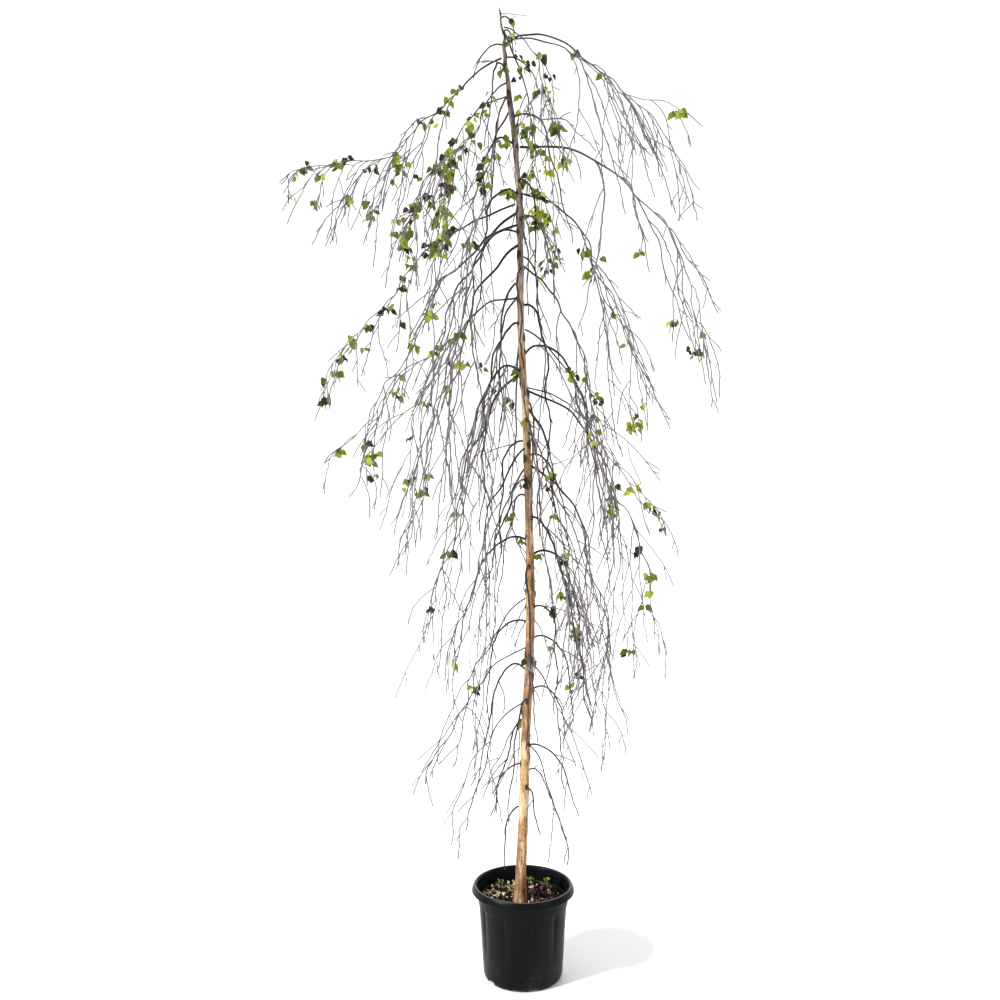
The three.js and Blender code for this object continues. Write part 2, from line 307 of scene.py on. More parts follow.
def plastic_finish(pot):
    """Black moulded plastic with dry dust and light scuff marks, a paler foot that is partly wear and partly
    painted highlight, and a painted highlight along the top of the lip.
    """
    finish = Finish("black_plastic", pot.colour, 0.36, Specular_IOR_Level=0.085)
    grain = finish.noise(900, detail=2)
    dust = finish.spread(finish.noise(7, detail=6, roughness=0.65), 0.46, 0.74)
    low = finish.spread(finish.height(), 0.13, 0.0)
    # The lowest band of the foot is paler in patches: partly wear, partly a painted highlight.
    foot_wear_and_highlight = finish.spread(finish.height(), 0.012, 0.003) * finish.spread(finish.noise(38), 0.38, 0.56)
    streaks = finish.spread(finish.noise(60, (1, 1, 0.06), detail=4), 0.52, 0.70)
    scratch = finish.spread(abs(finish.noise(34, (1, 1, 2.2), 2, distortion=2.4) - 0.5), 0.006, 0.0)
    patch = finish.spread(finish.noise(5), 0.54, 0.64)
    # The scratch marks together with the paler foot, whose band is partly painted highlight.
    scuffs_and_foot_highlight = scratch * patch + foot_wear_and_highlight
    # Painted highlight: a pale band along the top of the rolled lip, standing in for the glint of light on
    # it.
    lip = finish.spread(finish.height(), pot.height - 0.0026, pot.height - 0.0006)
    cover = dust * 0.015 + low * dust * 0.12 + streaks * 0.008
    colour = finish.blend(cover, pot.colour, pot.dust)
    # The pale colour goes on the scuff marks and, as painted highlight, on the lip and the foot.
    finish.feed("Base Color", finish.blend(scuffs_and_foot_highlight * 0.6 + lip * 0.5, colour, pot.rubbed_and_highlit))
    finish.feed("Roughness", 0.30 + cover * 1.2 + scuffs_and_foot_highlight * 0.3 + grain * 0.10)
    finish.bump(grain * 0.4 + streaks * 0.1 + scuffs_and_foot_highlight * -0.4, 0.3, 0.0004)
    return finish.material


def mix_finish(mix):
    """Moist crumbly potting mix, dark, with a few paler crumbs."""
    finish = Finish("potting_mix", mix.soil, 0.95, Specular_IOR_Level=0.05)
    crumbs = finish.cells(210)
    lumps = finish.noise(75, detail=6, roughness=0.7)
    pale = finish.spread(finish.noise(330, detail=2), 0.64, 0.74)
    colour = finish.blend(lumps, (0.004, 0.003, 0.002), shade(mix.soil, 2.4))
    finish.feed("Base Color", finish.blend(pale * 0.55, colour, (0.19, 0.11, 0.06)))
    finish.bump(lumps - crumbs * 0.5, 1.0, 0.006)
    return finish.material


def chip_finish(name, colour, dark):
    """Split bark or wood with a fine grain."""
    finish = Finish(name, colour, 0.85)
    grain = finish.noise(260, (1, 0.25, 1), 3)
    patch = finish.spread(finish.noise(70), 0.35, 0.65)
    finish.feed("Base Color", finish.blend(grain * 0.6 + patch * 0.4, shade(colour, dark), colour))
    finish.bump(grain, 0.5, 0.0008)
    return finish.material


def trunk_finish(bark):
    """Young birch bark: tan, streaked and peeling low down, smoother and greyer towards the top."""
    finish = Finish("trunk_bark", bark.tan, 0.72)
    upper = finish.spread(finish.height() + (finish.noise(5) - 0.5) * 0.5, 2.00, 3.00)
    patches = finish.spread(finish.noise(19, (1, 1, 0.40), 6, 0.66), 0.44, 0.58)
    streaks = finish.spread(finish.noise(52, (1, 1, 0.09), 5, 0.62), 0.46, 0.60)
    curls = finish.noise(17, (1, 1, 1.15), 5, 0.62, 1.4)
    cracks = finish.spread(abs(curls - 0.5), 0.016, 0.003)
    seams = finish.spread(abs(finish.noise(30, (1, 1, 0.11), 5, 0.6) - 0.5), 0.030, 0.008)
    flakes = finish.spread(curls, 0.50, 0.515)
    pores = finish.spread(finish.cells(74, (1, 1, 4.2)), 0.17, 0.07)
    some = finish.spread(finish.noise(11), 0.44, 0.58)
    scar = finish.node("ShaderNodeAttribute", {"attribute_name": "scar"}, output=2)
    ragged = finish.spread(scar + (finish.noise(70, detail=4) - 0.5) * 0.55, 0.34, 0.62)
    lower_tone = finish.blend(patches * 0.85, bark.tan, bark.pale)
    lower_tone = finish.blend(streaks * 0.75, lower_tone, bark.rust)
    upper_tone = finish.blend(patches * 0.75, bark.upper, (0.40, 0.32, 0.28))
    upper_tone = finish.blend(streaks * 0.75, upper_tone, shade(bark.upper, 0.25))
    tone = finish.blend(upper, lower_tone, upper_tone)
    tone = finish.blend(seams * 0.7, tone, shade(bark.rust, 0.3))
    tone = finish.blend(cracks * some * 0.75, tone, shade(bark.rust, 0.35))
    tone = finish.blend(pores * some * 0.85, tone, bark.scar)
    finish.feed("Base Color", finish.blend(ragged * 0.93, tone, bark.scar))
    finish.feed("Roughness", 0.62 + streaks * 0.15 + ragged * 0.15)
    hollows = cracks * some * 0.5 + streaks * 0.3 + seams * 0.5 + pores * some * 0.3
    relief = patches * 0.3 + flakes * 0.5 - hollows
    finish.bump(relief + ragged * 0.3, 0.9, 0.0018)
    return finish.material


def bough_finish(bark):
    """Smooth bark, nearly black by the trunk and grey further out, with pale pores."""
    finish = Finish("bough_bark", bark.bough, 0.55, Specular_IOR_Level=0.25)
    away = finish.node("ShaderNodeAttribute", {"attribute_name": "away"}, output=2)
    mottled = finish.noise(90, detail=4)
    grey = finish.spread(away + (finish.noise(14) - 0.5) * 0.25, 0.09, 0.56)
    pores = finish.spread(finish.cells(190), 0.20, 0.08)
    tone = finish.blend(grey, bark.bough, bark.bloom)
    tone = finish.blend((mottled - 0.3) * 0.5, tone, shade(bark.bloom, 0.5))
    finish.feed("Base Color", finish.blend(pores * 0.4, tone, (0.33, 0.28, 0.25)))
    finish.feed("Roughness", 0.45 + grey * 0.25)
    finish.bump(mottled + pores * 0.6, 0.5, 0.0006)
    return finish.material


def twig_finish(name, colour, bloom_colour):
    """Thin bark in one plain tone, with a faint bloom."""
    finish = Finish(name, colour, 0.6)
    bloom = finish.spread(finish.noise(14, detail=3), 0.38, 0.66)
    finish.feed("Base Color", finish.blend(bloom * 0.6, colour, bloom_colour))
    finish.bump(finish.noise(420, detail=2), 0.35, 0.0003)
    return finish.material


def leaf_finish(name, colour, roughness):
    """One plain leaf colour with a softly ribbed surface."""
    finish = Finish(name, colour, roughness, Specular_IOR_Level=0.25)
    finish.bump(finish.noise(330, detail=3), 0.4, 0.0006)
    return finish.material


def floor_finish(stage):
    """A matt studio floor with the faintest unevenness."""
    finish = Finish("studio_floor", stage.floor, 0.9)
    finish.bump(finish.noise(3, detail=2), 0.02, 0.001)
    return finish.material


# ---- Working with bpy.ops -----------------------------------------------------------------------


def start_clean():
    """Leaves edit mode and deselects everything, as a new piece needs."""
    if bpy.context.object and bpy.context.object.mode != "OBJECT":
        bpy.ops.object.mode_set(mode="OBJECT")
    bpy.ops.object.select_all(action="DESELECT")


def take_up(piece):
    """Makes one object the only one selected and the active one."""
    start_clean()
    piece.select_set(True)
    bpy.context.view_layer.objects.active = piece


def add_modifier(piece, kind, **values):
    """Adds a modifier, sets it and applies it."""
    take_up(piece)
    modifier = piece.modifiers.new(kind.title(), kind)
    for key, value in values.items():
        setattr(modifier, key, value)
    bpy.ops.object.modifier_apply(modifier=modifier.name)


def settle(piece, name, slot, *finishes):
    """Names a finished piece, applies its place, gives it its finishes and lets it ride."""
    take_up(piece)
    bpy.ops.object.transform_apply(location=True, rotation=True, scale=True)
    piece.name = piece.data.name = name
    piece.data.materials.clear()
    for finish in finishes:
        piece.data.materials.append(finish)
    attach(piece, "root")
    return piece


def ring_points(radius, count, centre):
    """A filled circle to start a turned or drawn-out shape."""
    start_clean()
    bpy.ops.mesh.primitive_circle_add(
        vertices=count, radius=radius, fill_type="NGON", location=centre, align="WORLD"
    )
    piece = bpy.context.object
    bpy.ops.object.transform_apply(location=True, rotation=True, scale=True)
    bpy.ops.object.mode_set(mode="EDIT")
    bpy.ops.mesh.select_mode(type="FACE")
    bpy.ops.mesh.select_all(action="SELECT")
    return piece


def draw_out(move, scale, pivot):
    """Extrudes the selected face, moves it and scales it about a pivot."""
    bpy.ops.mesh.extrude_region_move(TRANSFORM_OT_translate={"value": move})
    if scale != 1:
        bpy.ops.transform.resize(value=(scale, scale, 1), center_override=pivot)


def pick(mesh, wanted):
    """Selects just the wanted corners of the piece in hand, in edit mode."""
    bpy.ops.object.mode_set(mode="EDIT")
    bpy.ops.mesh.select_mode(type="VERT")
    bpy.ops.mesh.select_all(action="DESELECT")
    bpy.ops.object.mode_set(mode="OBJECT")
    for corner in wanted:
        mesh.vertices[corner].select = True
    bpy.ops.object.mode_set(mode="EDIT")


def close_up(smooth_angle):
    """Turns the faces outwards, leaves edit mode and smooths the shading."""
    bpy.ops.mesh.select_all(action="SELECT")
    bpy.ops.mesh.normals_make_consistent(inside=False)
    bpy.ops.object.mode_set(mode="OBJECT")
    bpy.ops.object.shade_smooth_by_angle(angle=smooth_angle)


def mesh_of(name, corners, faces):
    """A piece from arrays of corners and faces, for things made in their hundreds."""
    mesh = bpy.data.meshes.new(name)
    mesh.from_pydata(corners, [], faces)
    mesh.validate()
    piece = bpy.data.objects.new(name, mesh)
    bpy.context.collection.objects.link(piece)
    return piece


def corners_in(mesh):
    """A mesh's corners, one row for each."""
    flat = np.empty(len(mesh.vertices) * 3)
    mesh.vertices.foreach_get("co", flat)
    return flat.reshape(-1, 3)


def store(mesh, name, values):
    """Keeps one number for each corner, for a finish to read."""
    mark = mesh.attributes.new(name, "FLOAT", "POINT")
    mark.data.foreach_set("value", values.astype(np.float32))


# ---- The frame's lines --------------------------------------------------------------------------

RING_WIDTH = 0.024  # corners nearer than this to each other belong to one ring of a bough


def corners_of(name):
    """A node's separate corners."""
    return np.unique(corners_in(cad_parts[name].data).round(5), axis=0)


def trunk_rings():
    """The trunk's centre line and radius, ring by ring from the soil up."""
    corners = corners_of("trunk")
    heights = corners[:, 2].round(3)
    centres, radii = [], []
    for height in np.unique(heights):
        ring = corners[heights == height]
        if len(ring) < 6:
            continue
        centre = (ring.min(axis=0) + ring.max(axis=0)) / 2
        centres.append(centre)
        radii.append(np.linalg.norm(ring - centre, axis=1).max())
    return np.array(centres), np.array(radii)


TRUNK_LINE, TRUNK_RADII = trunk_rings()


def trunk_middle(height):
    """Where the trunk's centre line stands at a height, or at many."""
    return [np.interp(height, TRUNK_LINE[:, 2], TRUNK_LINE[:, axis]) for axis in (0, 1)]


def trunk_at(height):
    """The middle of the trunk at a height, and its radius there."""
    middle = np.array([*trunk_middle(height), height])
    return middle, float(np.interp(height, TRUNK_LINE[:, 2], TRUNK_RADII))


def bough_rings(name):
    """A bough's centre line and radius, ring by ring from the trunk out."""
    left = corners_of(name)
    from_trunk = [np.linalg.norm(corner - trunk_at(corner[2])[0]) for corner in left]
    here = left[int(np.argmin(from_trunk))]
    centres, radii = [], []
    while len(left):
        near = left[np.argmin(np.linalg.norm(left - here, axis=1))]
        same = np.linalg.norm(left - near, axis=1) < RING_WIDTH
        ring = left[same]
        left = left[~same]
        here = ring.mean(axis=0)
        centres.append(here)
        radii.append(np.linalg.norm(ring - here, axis=1).max())
    return np.array(centres), np.array(radii)


def spline(points, values, step):
    """Points and values at even steps along a smooth line through the given points."""
    points = np.asarray(points)
    padded = np.vstack([2 * points[0] - points[1], points, 2 * points[-1] - points[-2]])
    line, along = [], []
    for i in range(1, len(padded) - 2):
        a, b, c, d = padded[i - 1 : i + 3]
        for t in np.linspace(0, 1, 8, endpoint=False):
            line.append(
                0.5
                * (2 * b + (c - a) * t + (2 * a - 5 * b + 4 * c - d) * t**2 + (3 * b - a - 3 * c + d) * t**3)
            )
            along.append(i - 1 + t)
    line.append(points[-1])
    along.append(len(points) - 1)
    line = np.array(line)
    lengths = np.concatenate([[0], np.cumsum(np.linalg.norm(np.diff(line, axis=0), axis=1))])
    count = max(3, round(lengths[-1] / step))
    wanted = np.linspace(0, lengths[-1], count + 1)
    even = np.stack([np.interp(wanted, lengths, line[:, axis]) for axis in range(3)], axis=1)
    places = np.interp(wanted, lengths, along)
    return even, np.interp(places, range(len(values)), values)


def leading_shoot(name, end, heading):
    """The line that carries a bough on through its mass to the far tip."""
    corners = corners_of(name.replace("bough", "mass"))
    away = np.linalg.norm(corners - end, axis=1)
    far = corners[int(np.argmax(away))]
    tail = corners[np.linalg.norm(corners - far, axis=1) < 0.03].mean(axis=0)
    reach = np.linalg.norm(tail - end)
    back = np.linalg.norm(corners - tail, axis=1)
    before = corners[(back > 0.15 * reach) & (back < 0.4 * reach)].mean(axis=0)
    hang = (tail - before) / np.linalg.norm(tail - before)
    line = []
    for t in np.linspace(0.12, 1, 9):
        line.append(
            (2 * t**3 - 3 * t**2 + 1) * end
            + (t**3 - 2 * t**2 + t) * heading * reach
            + (3 * t**2 - 2 * t**3) * tail
            + (t**3 - t**2) * hang * reach
        )
    return np.array(line)


class Limb:
    """A bough from inside the trunk to its furthest tip."""

    TIP = 0.0019
    GIRTH = 0.78  # of the frame's bough, whose solid is a little stout
    JOINT = 0.02
    WANDER = 0.013

    def __init__(self, name):
        centres, radii = bough_rings(name)
        heading = centres[-1] - centres[-2]
        heading /= np.linalg.norm(heading)
        self.name = name
        self.bare = name.replace("bough", "mass") not in MASSES
        if not self.bare:
            onward = leading_shoot(name, centres[-1], heading)
            centres = np.vstack([centres, onward])
            radii = np.concatenate([radii, np.linspace(radii[-1] * 0.88, self.TIP, len(onward))])
        start = centres[1] - (centres[2] - centres[1]) * 0.9
        self.root, _ = trunk_at(start[2])
        centres[0] = self.root + (centres[1] - self.root) * 0.25
        radii[0] = radii[1] * 1.04
        slim = np.maximum(radii * self.GIRTH, self.TIP * (1.2 if self.bare else 1))
        self.line, self.radii = spline(centres, slim, self.JOINT)
        self.wander(random.Random(name))
        self.length = self.JOINT * (len(self.line) - 1)
        self.slope = abs(heading_of(self.line, len(self.line) - 2)[2])

    def wander(self, chance):
        """Bends the line a little to and fro, more the further it is from the trunk."""
        along = np.arange(len(self.line)) * self.JOINT
        grown = np.minimum(along / 0.3, 1)
        for axis in range(3):
            for wave in (0.11, 0.23, 0.47):
                phase = chance.uniform(0, 2 * math.pi)
                sway = np.sin(along / wave * 2 * math.pi + phase)
                self.line[:, axis] += self.WANDER * wave / 0.47 * grown * sway


def heading_of(line, index):
    """The unit direction of a line at a point."""
    ahead = np.asarray(line[min(index + 1, len(line) - 1)]) - np.asarray(line[max(index - 1, 0)])
    return ahead / np.linalg.norm(ahead)


# ---- Growth -------------------------------------------------------------------------------------

STEP = 0.026  # length of one joint of a shoot
LOWEST_SHOOT = 0.62  # height of the lowest shoot on the trunk
ROUND = 2.4  # radians round the trunk from one shoot to the next
SHOOT_TIP = 0.0021  # radius at the tip of a bough's side shoot
TWIG_TIP = 0.0020  # and of a trunk shoot or a twig
DRIFT = 0.022  # how a shoot strays as it grows, for each joint: always one way,
JOLT = 0.055  # by chance,
ZIGZAG = 0.09  # by turns left and right,
SWAY = 0.20  # and to and fro over several joints
SWAY_TURN = 0.75  # radians of the sway for each joint
# The habit of each bough: how leafy it is, where 1 is a spray at most nodes, how far out its leaves start,
# and how openly its side shoots stand, where 1 is the usual spacing.
HABITS = {
    "01": (0.12, 0.30, 1.45), "02": (0.05, 0.40, 1.15), "03": (0.60, 0.10, 0.75),
    "04": (0.60, 0.10, 0.85), "05": (0.85, 0.22, 0.70), "06": (0.75, 0.10, 0.80),
    "07": (1.00, 0.15, 0.85), "08": (0.50, 0.20, 0.90), "09": (0.12, 0.30, 1.40),
    "10": (0.24, 0.20, 1.20), "11": (0.75, 0.25, 1.10), "12": (0.16, 0.30, 1.45),
    "13": (0.20, 0.30, 1.35), "14": (0.16, 0.30, 1.25), "15": (0.16, 0.30, 1.10),
    "16": (0.08, 0.30, 1.35), "17": (0.24, 0.40, 1.05), "18": (0.20, 0.30, 1.20),
    "19": (0.05, 0.30, 1.90), "20": (0.10, 0.30, 1.30), "21": (0.06, 0.40, 1.45),
    "22": (0.06, 0.30, 1.50), "23": (0.36, 0.30, 1.20), "24": (0.05, 0.30, 2.10),
    "25": (0.10, 0.60, 1.25), "26": (0.05, 0.30, 1.80), "27": (0.03, 0.30, 1.70),
    "28": (0.03, 0.30, 1.70), "29": (0.00, 0.30, 1.70), "30": (0.00, 0.30, 1.70),
    "31": (0.00, 0.30, 1.70),
}
USUAL = (0.05, 0.3, 1.25)


def habit(name):
    """The habit of a bough, or the usual one."""
    return HABITS.get(name.removeprefix("bough_"), USUAL)


def level_way(turn):
    """The level direction at a bearing."""
    return Vector((math.cos(turn), math.sin(turn), 0))


def any_turn(chance):
    """A random bearing."""
    return chance.uniform(0, 2 * math.pi)


def sideways(chance):
    """A random level step of up to one each way."""
    return Vector((chance.uniform(-1, 1), chance.uniform(-1, 1), 0))


def anywhere(chance):
    """A random step of up to one each way."""
    return Vector(chance.uniform(-1, 1) for _ in range(3))


class Shoot:
    """One grown shoot: its line, its radii, its order, its bough and how far out on it it grows."""

    def __init__(self, line, base, tip, order, bough, share=0.0):
        self.line = line
        self.radii = np.linspace(base, tip, len(line))
        self.order = order
        self.bough = bough
        self.share = share

    def smooth(self):
        """Its line through all its joints without kinks, and its radii."""
        return spline(self.line, self.radii, STEP / 2)


def hang(start, aim, length, droop, rest, chance):
    """The line of one shoot, which sets off along aim and bends towards rest as it grows."""
    line = [Vector(start)]
    way = Vector(aim).normalized()
    zigzag = sideways(chance).normalized()
    drift = sideways(chance) * DRIFT
    sway = sideways(chance) * SWAY
    phase = any_turn(chance)
    for joint in range(max(1, round(length / STEP))):
        jolt = Vector((chance.gauss(0, 1), chance.gauss(0, 1), chance.gauss(0, 0.6))) * JOLT
        way = way.lerp(rest, min(1, droop * STEP)) + drift + jolt
        way.normalize()
        turn = zigzag * (ZIGZAG if joint % 2 else -ZIGZAG) + sway * math.sin(SWAY_TURN * joint + phase)
        line.append(line[-1] + (way + turn).normalized() * STEP)
    return within(line, chance)


def within(line, chance):
    """The line up to where it would leave the frame's box or reach the pot."""
    low, high = CAD_BOX
    for count, point in enumerate(line):
        outside = any(not low[axis] < point[axis] < high[axis] for axis in range(3))
        if outside or point.z < POT_TOP + 0.012:
            return line[: max(0, count - chance.randrange(3))]
    return line


def side_shoots(limb, twigs, chance):
    """Side shoots by turns left and right along a bough."""
    grown = []
    reach = 0.12 + 0.13 * limb.length
    side = 1
    spacing = twigs.spacing * habit(limb.name)[2]
    while reach < limb.length - 0.03:
        index = min(round(reach / limb.JOINT), len(limb.line) - 2)
        heading = Vector(heading_of(limb.line, index))
        level = heading.cross(UP)
        if level.length < 0.35:
            level = level_way(any_turn(chance))
        level.normalize()
        side = -side
        aim = heading * 0.7 + level * side * chance.uniform(0.3, 1.1) + UP * chance.uniform(-0.4, 0.35)
        left = limb.length - reach
        length = (0.12 + left * (0.33 + 0.5 * limb.slope)) * chance.uniform(0.3, 1.15)
        length = min(twigs.longest, max(0.09, length)) * (1.2 if limb.bare else 1)
        outward = Vector((heading.x, heading.y, 0))
        stray = level_way(any_turn(chance)) * chance.uniform(0, 0.35)
        rest = (-UP + outward * chance.uniform(-0.1, 0.6) + stray).normalized()
        line = hang(limb.line[index], aim, length, chance.uniform(4.5, 12), rest, chance)
        if len(line) > 1:
            base = min(0.0025 + 0.0022 * length, float(limb.radii[index]) * 0.95)
            grown.append(Shoot(line, base, SHOOT_TIP, 1, limb.name, reach / limb.length))
        reach += spacing * chance.uniform(0.5, 1.6)
    return grown


def trunk_shoots(twigs, chance):
    """Slim shoots that leave the trunk between the boughs, rise a little, arch over and hang."""
    grown = []
    height = LOWEST_SHOOT
    turn = 0.0
    while height < TRUNK_LINE[-1][2] - 0.03:
        middle, girth = trunk_at(height)
        turn += ROUND + chance.uniform(-0.5, 0.5)
        out = level_way(turn)
        aim = out + UP * chance.uniform(0.3, 1.6)
        longest = min(0.85, 0.30 + 0.55 * (height - 0.5), 0.12 + 1.4 * (3.6 - height))
        length = longest * chance.uniform(0.45, 1)
        rest = (-UP + out * chance.uniform(0, 0.35)).normalized()
        start = Vector(middle) + out * girth * 0.4
        line = hang(start, aim, length, chance.uniform(9, 17), rest, chance)
        if len(line) > 3:
            grown.append(Shoot(line, 0.0031 + 0.0018 * length, TWIG_TIP, 0, "trunk"))
        height += twigs.trunk_spacing * chance.uniform(0.5, 1.5) * (0.6 if height > 3.3 else 1)
    tip = Vector(TRUNK_LINE[-1]) - Vector((0, 0, 0.030))
    line = hang(tip, (1, 0, 0.35), 0.10, 9, Vector((1, 0, -0.5)).normalized(), chance)
    grown.append(Shoot(line, 0.0016, 0.0012, 0, "trunk"))
    return grown


def twigs_on(parent, spacing, chance):
    """Side twigs, left and right by turns, along one shoot: mostly short spurs, some long."""
    grown = []
    total = STEP * (len(parent.line) - 1)
    order = parent.order + 1 if parent.order else 1
    spacing *= habit(parent.bough)[2] ** 0.5
    reach = spacing * chance.uniform(0.5, 1.2)
    side = chance.choice((-1, 1))
    while reach < total - 0.02:
        index = min(round(reach / STEP), len(parent.line) - 2)
        way = (parent.line[index + 1] - parent.line[index]).normalized()
        level = way.cross(level_way(any_turn(chance)) + UP * 0.2).normalized()
        side = -side
        aim = way + level * side * chance.uniform(0.5, 0.9)
        is_long = chance.random() < (0.6 if order < 3 else 0.3)
        longest = (0.45, 0.30, 0.12)[order - 1]
        length = (total - reach) * chance.uniform(0.3, 0.95) if is_long else chance.uniform(0.025, 0.06)
        length = min(longest, max(STEP, length))
        rest = (way * 0.6 - UP * 0.9).normalized()
        line = hang(parent.line[index], aim, length, chance.uniform(1.5, 7), rest, chance)
        if len(line) > 1:
            base = min(0.0023 + 0.002 * length, float(parent.radii[index]) * 0.95)
            grown.append(Shoot(line, base, TWIG_TIP, order, parent.bough, parent.share))
        reach += spacing * chance.uniform(0.5, 1.7)
    return grown


@functools.lru_cache
def grow(seed):
    """Grows every shoot, order by order, from the boughs and the trunk."""
    twigs = bpy.context.scene.birch.twigs
    chance = random.Random(seed)
    limbs = [Limb(name) for name in BOUGHS]
    main = trunk_shoots(twigs, chance)
    side = [shoot for limb in limbs for shoot in side_shoots(limb, twigs, chance)]
    side += [shoot for parent in main for shoot in twigs_on(parent, twigs.twig_spacing, chance)]
    fine = [shoot for parent in side for shoot in twigs_on(parent, twigs.twig_spacing, chance)]
    finest = [
        shoot
        for parent in fine
        if len(parent.line) > 7
        for shoot in twigs_on(parent, twigs.twig_spacing * 1.4, chance)
    ]
    return limbs, main, side, fine + finest


def tubes(lines, sides):
    """Corners and faces of many tapering tubes. Each line comes with its radii."""
    corners, faces, first = [], [], 0
    angles = np.linspace(0, 2 * np.pi, sides, endpoint=False)
    wheel = np.stack([np.cos(angles), np.sin(angles)])
    for line, radii in lines:
        line = np.array(line)
        along = np.gradient(line, axis=0)
        along /= np.linalg.norm(along, axis=1)[:, None]
        axis = np.eye(3)[int(np.argmin(np.abs(along).max(axis=0)))]
        across = np.cross(along, axis)
        across /= np.linalg.norm(across, axis=1)[:, None]
        other = np.cross(along, across)
        ring = across[:, None] * wheel[0][:, None] + other[:, None] * wheel[1][:, None]
        corners.append((line[:, None] + ring * np.asarray(radii)[:, None, None]).reshape(-1, 3))
        for i in range(len(line) - 1):
            here = first + i * sides
            for j in range(sides):
                k = (j + 1) % sides
                faces.append((here + j, here + k, here + sides + k, here + sides + j))
        faces.append(tuple(first + j for j in reversed(range(sides))))
        last = first + (len(line) - 1) * sides
        faces.append(tuple(last + j for j in range(sides)))
        first += len(line) * sides
    return np.vstack(corners), faces


def copies(shape, faces, places):
    """Many copies of one small shape. Each place is a point, three axes and a size."""
    shape = np.array(shape)
    corners, all_faces = [], []
    for count, (point, axes, length) in enumerate(places):
        corners.append(np.array(point) + length * (shape @ np.array(axes)))
        first = count * len(shape)
        all_faces.extend(tuple(first + corner for corner in face) for face in faces)
    return np.vstack(corners), all_faces


def axes_along(way, spin):
    """Three square unit axes, the second along way and the third turned round it by spin."""
    way = Vector(way).normalized()
    guide = Vector((1, 0, 0)) if abs(way.x) < 0.8 else Vector((0, 1, 0))
    across = way.cross(guide).normalized()
    normal = across.cross(way)
    turned = across * math.cos(spin) + normal * math.sin(spin)
    return [turned, way, turned.cross(way)]


BUD = [(0, -0.1, 0), (0.24, 0.38, 0), (0, 0.38, 0.24), (-0.24, 0.38, 0), (0, 0.38, -0.24), (0, 1, 0)]
BUD_FACES = [(0, 2, 1), (0, 3, 2), (0, 4, 3), (0, 1, 4), (5, 1, 2), (5, 2, 3), (5, 3, 4), (5, 4, 1)]


def leaf_shape():
    """A toothed, pointed blade folded a little along its midrib, on a short stalk."""
    edge = [(0.12, 0.01), (0.28, 0.06), (0.34, 0.17), (0.41, 0.21), (0.38, 0.32), (0.42, 0.37)]
    edge += [(0.32, 0.49), (0.33, 0.56), (0.21, 0.68), (0.18, 0.77), (0.07, 0.89)]
    corners = [(0, 0, 0), (0, 0.34, -0.03), (0, 0.66, -0.02), (0, 1.06, -0.10)]
    faces = []
    for side in (1, -1):
        first = len(corners)
        corners += [(side * x, y, 0.34 * x - 0.10 * y * y) for x, y in edge]
        rim = list(range(first, first + len(edge)))
        fans = [(0, rim[:5]), (1, rim[4:8]), (2, rim[7:])]
        for number, (middle, part) in enumerate(fans):
            for a, b in zip(part, part[1:]):
                faces.append((middle, a, b) if side > 0 else (middle, b, a))
            if number < 2:
                link = (middle, part[-1], middle + 1)
                faces.append(link if side > 0 else link[::-1])
        tip = (2, rim[-1], 3)
        faces.append(tip if side > 0 else tip[::-1])
    first = len(corners)
    corners += [(-0.02, -0.42, 0), (0.02, -0.42, 0), (0.015, 0, 0), (-0.015, 0, 0)]
    faces.append((first, first + 1, first + 2, first + 3))
    return corners, faces


# ---- Operators ----------------------------------------------------------------------------------


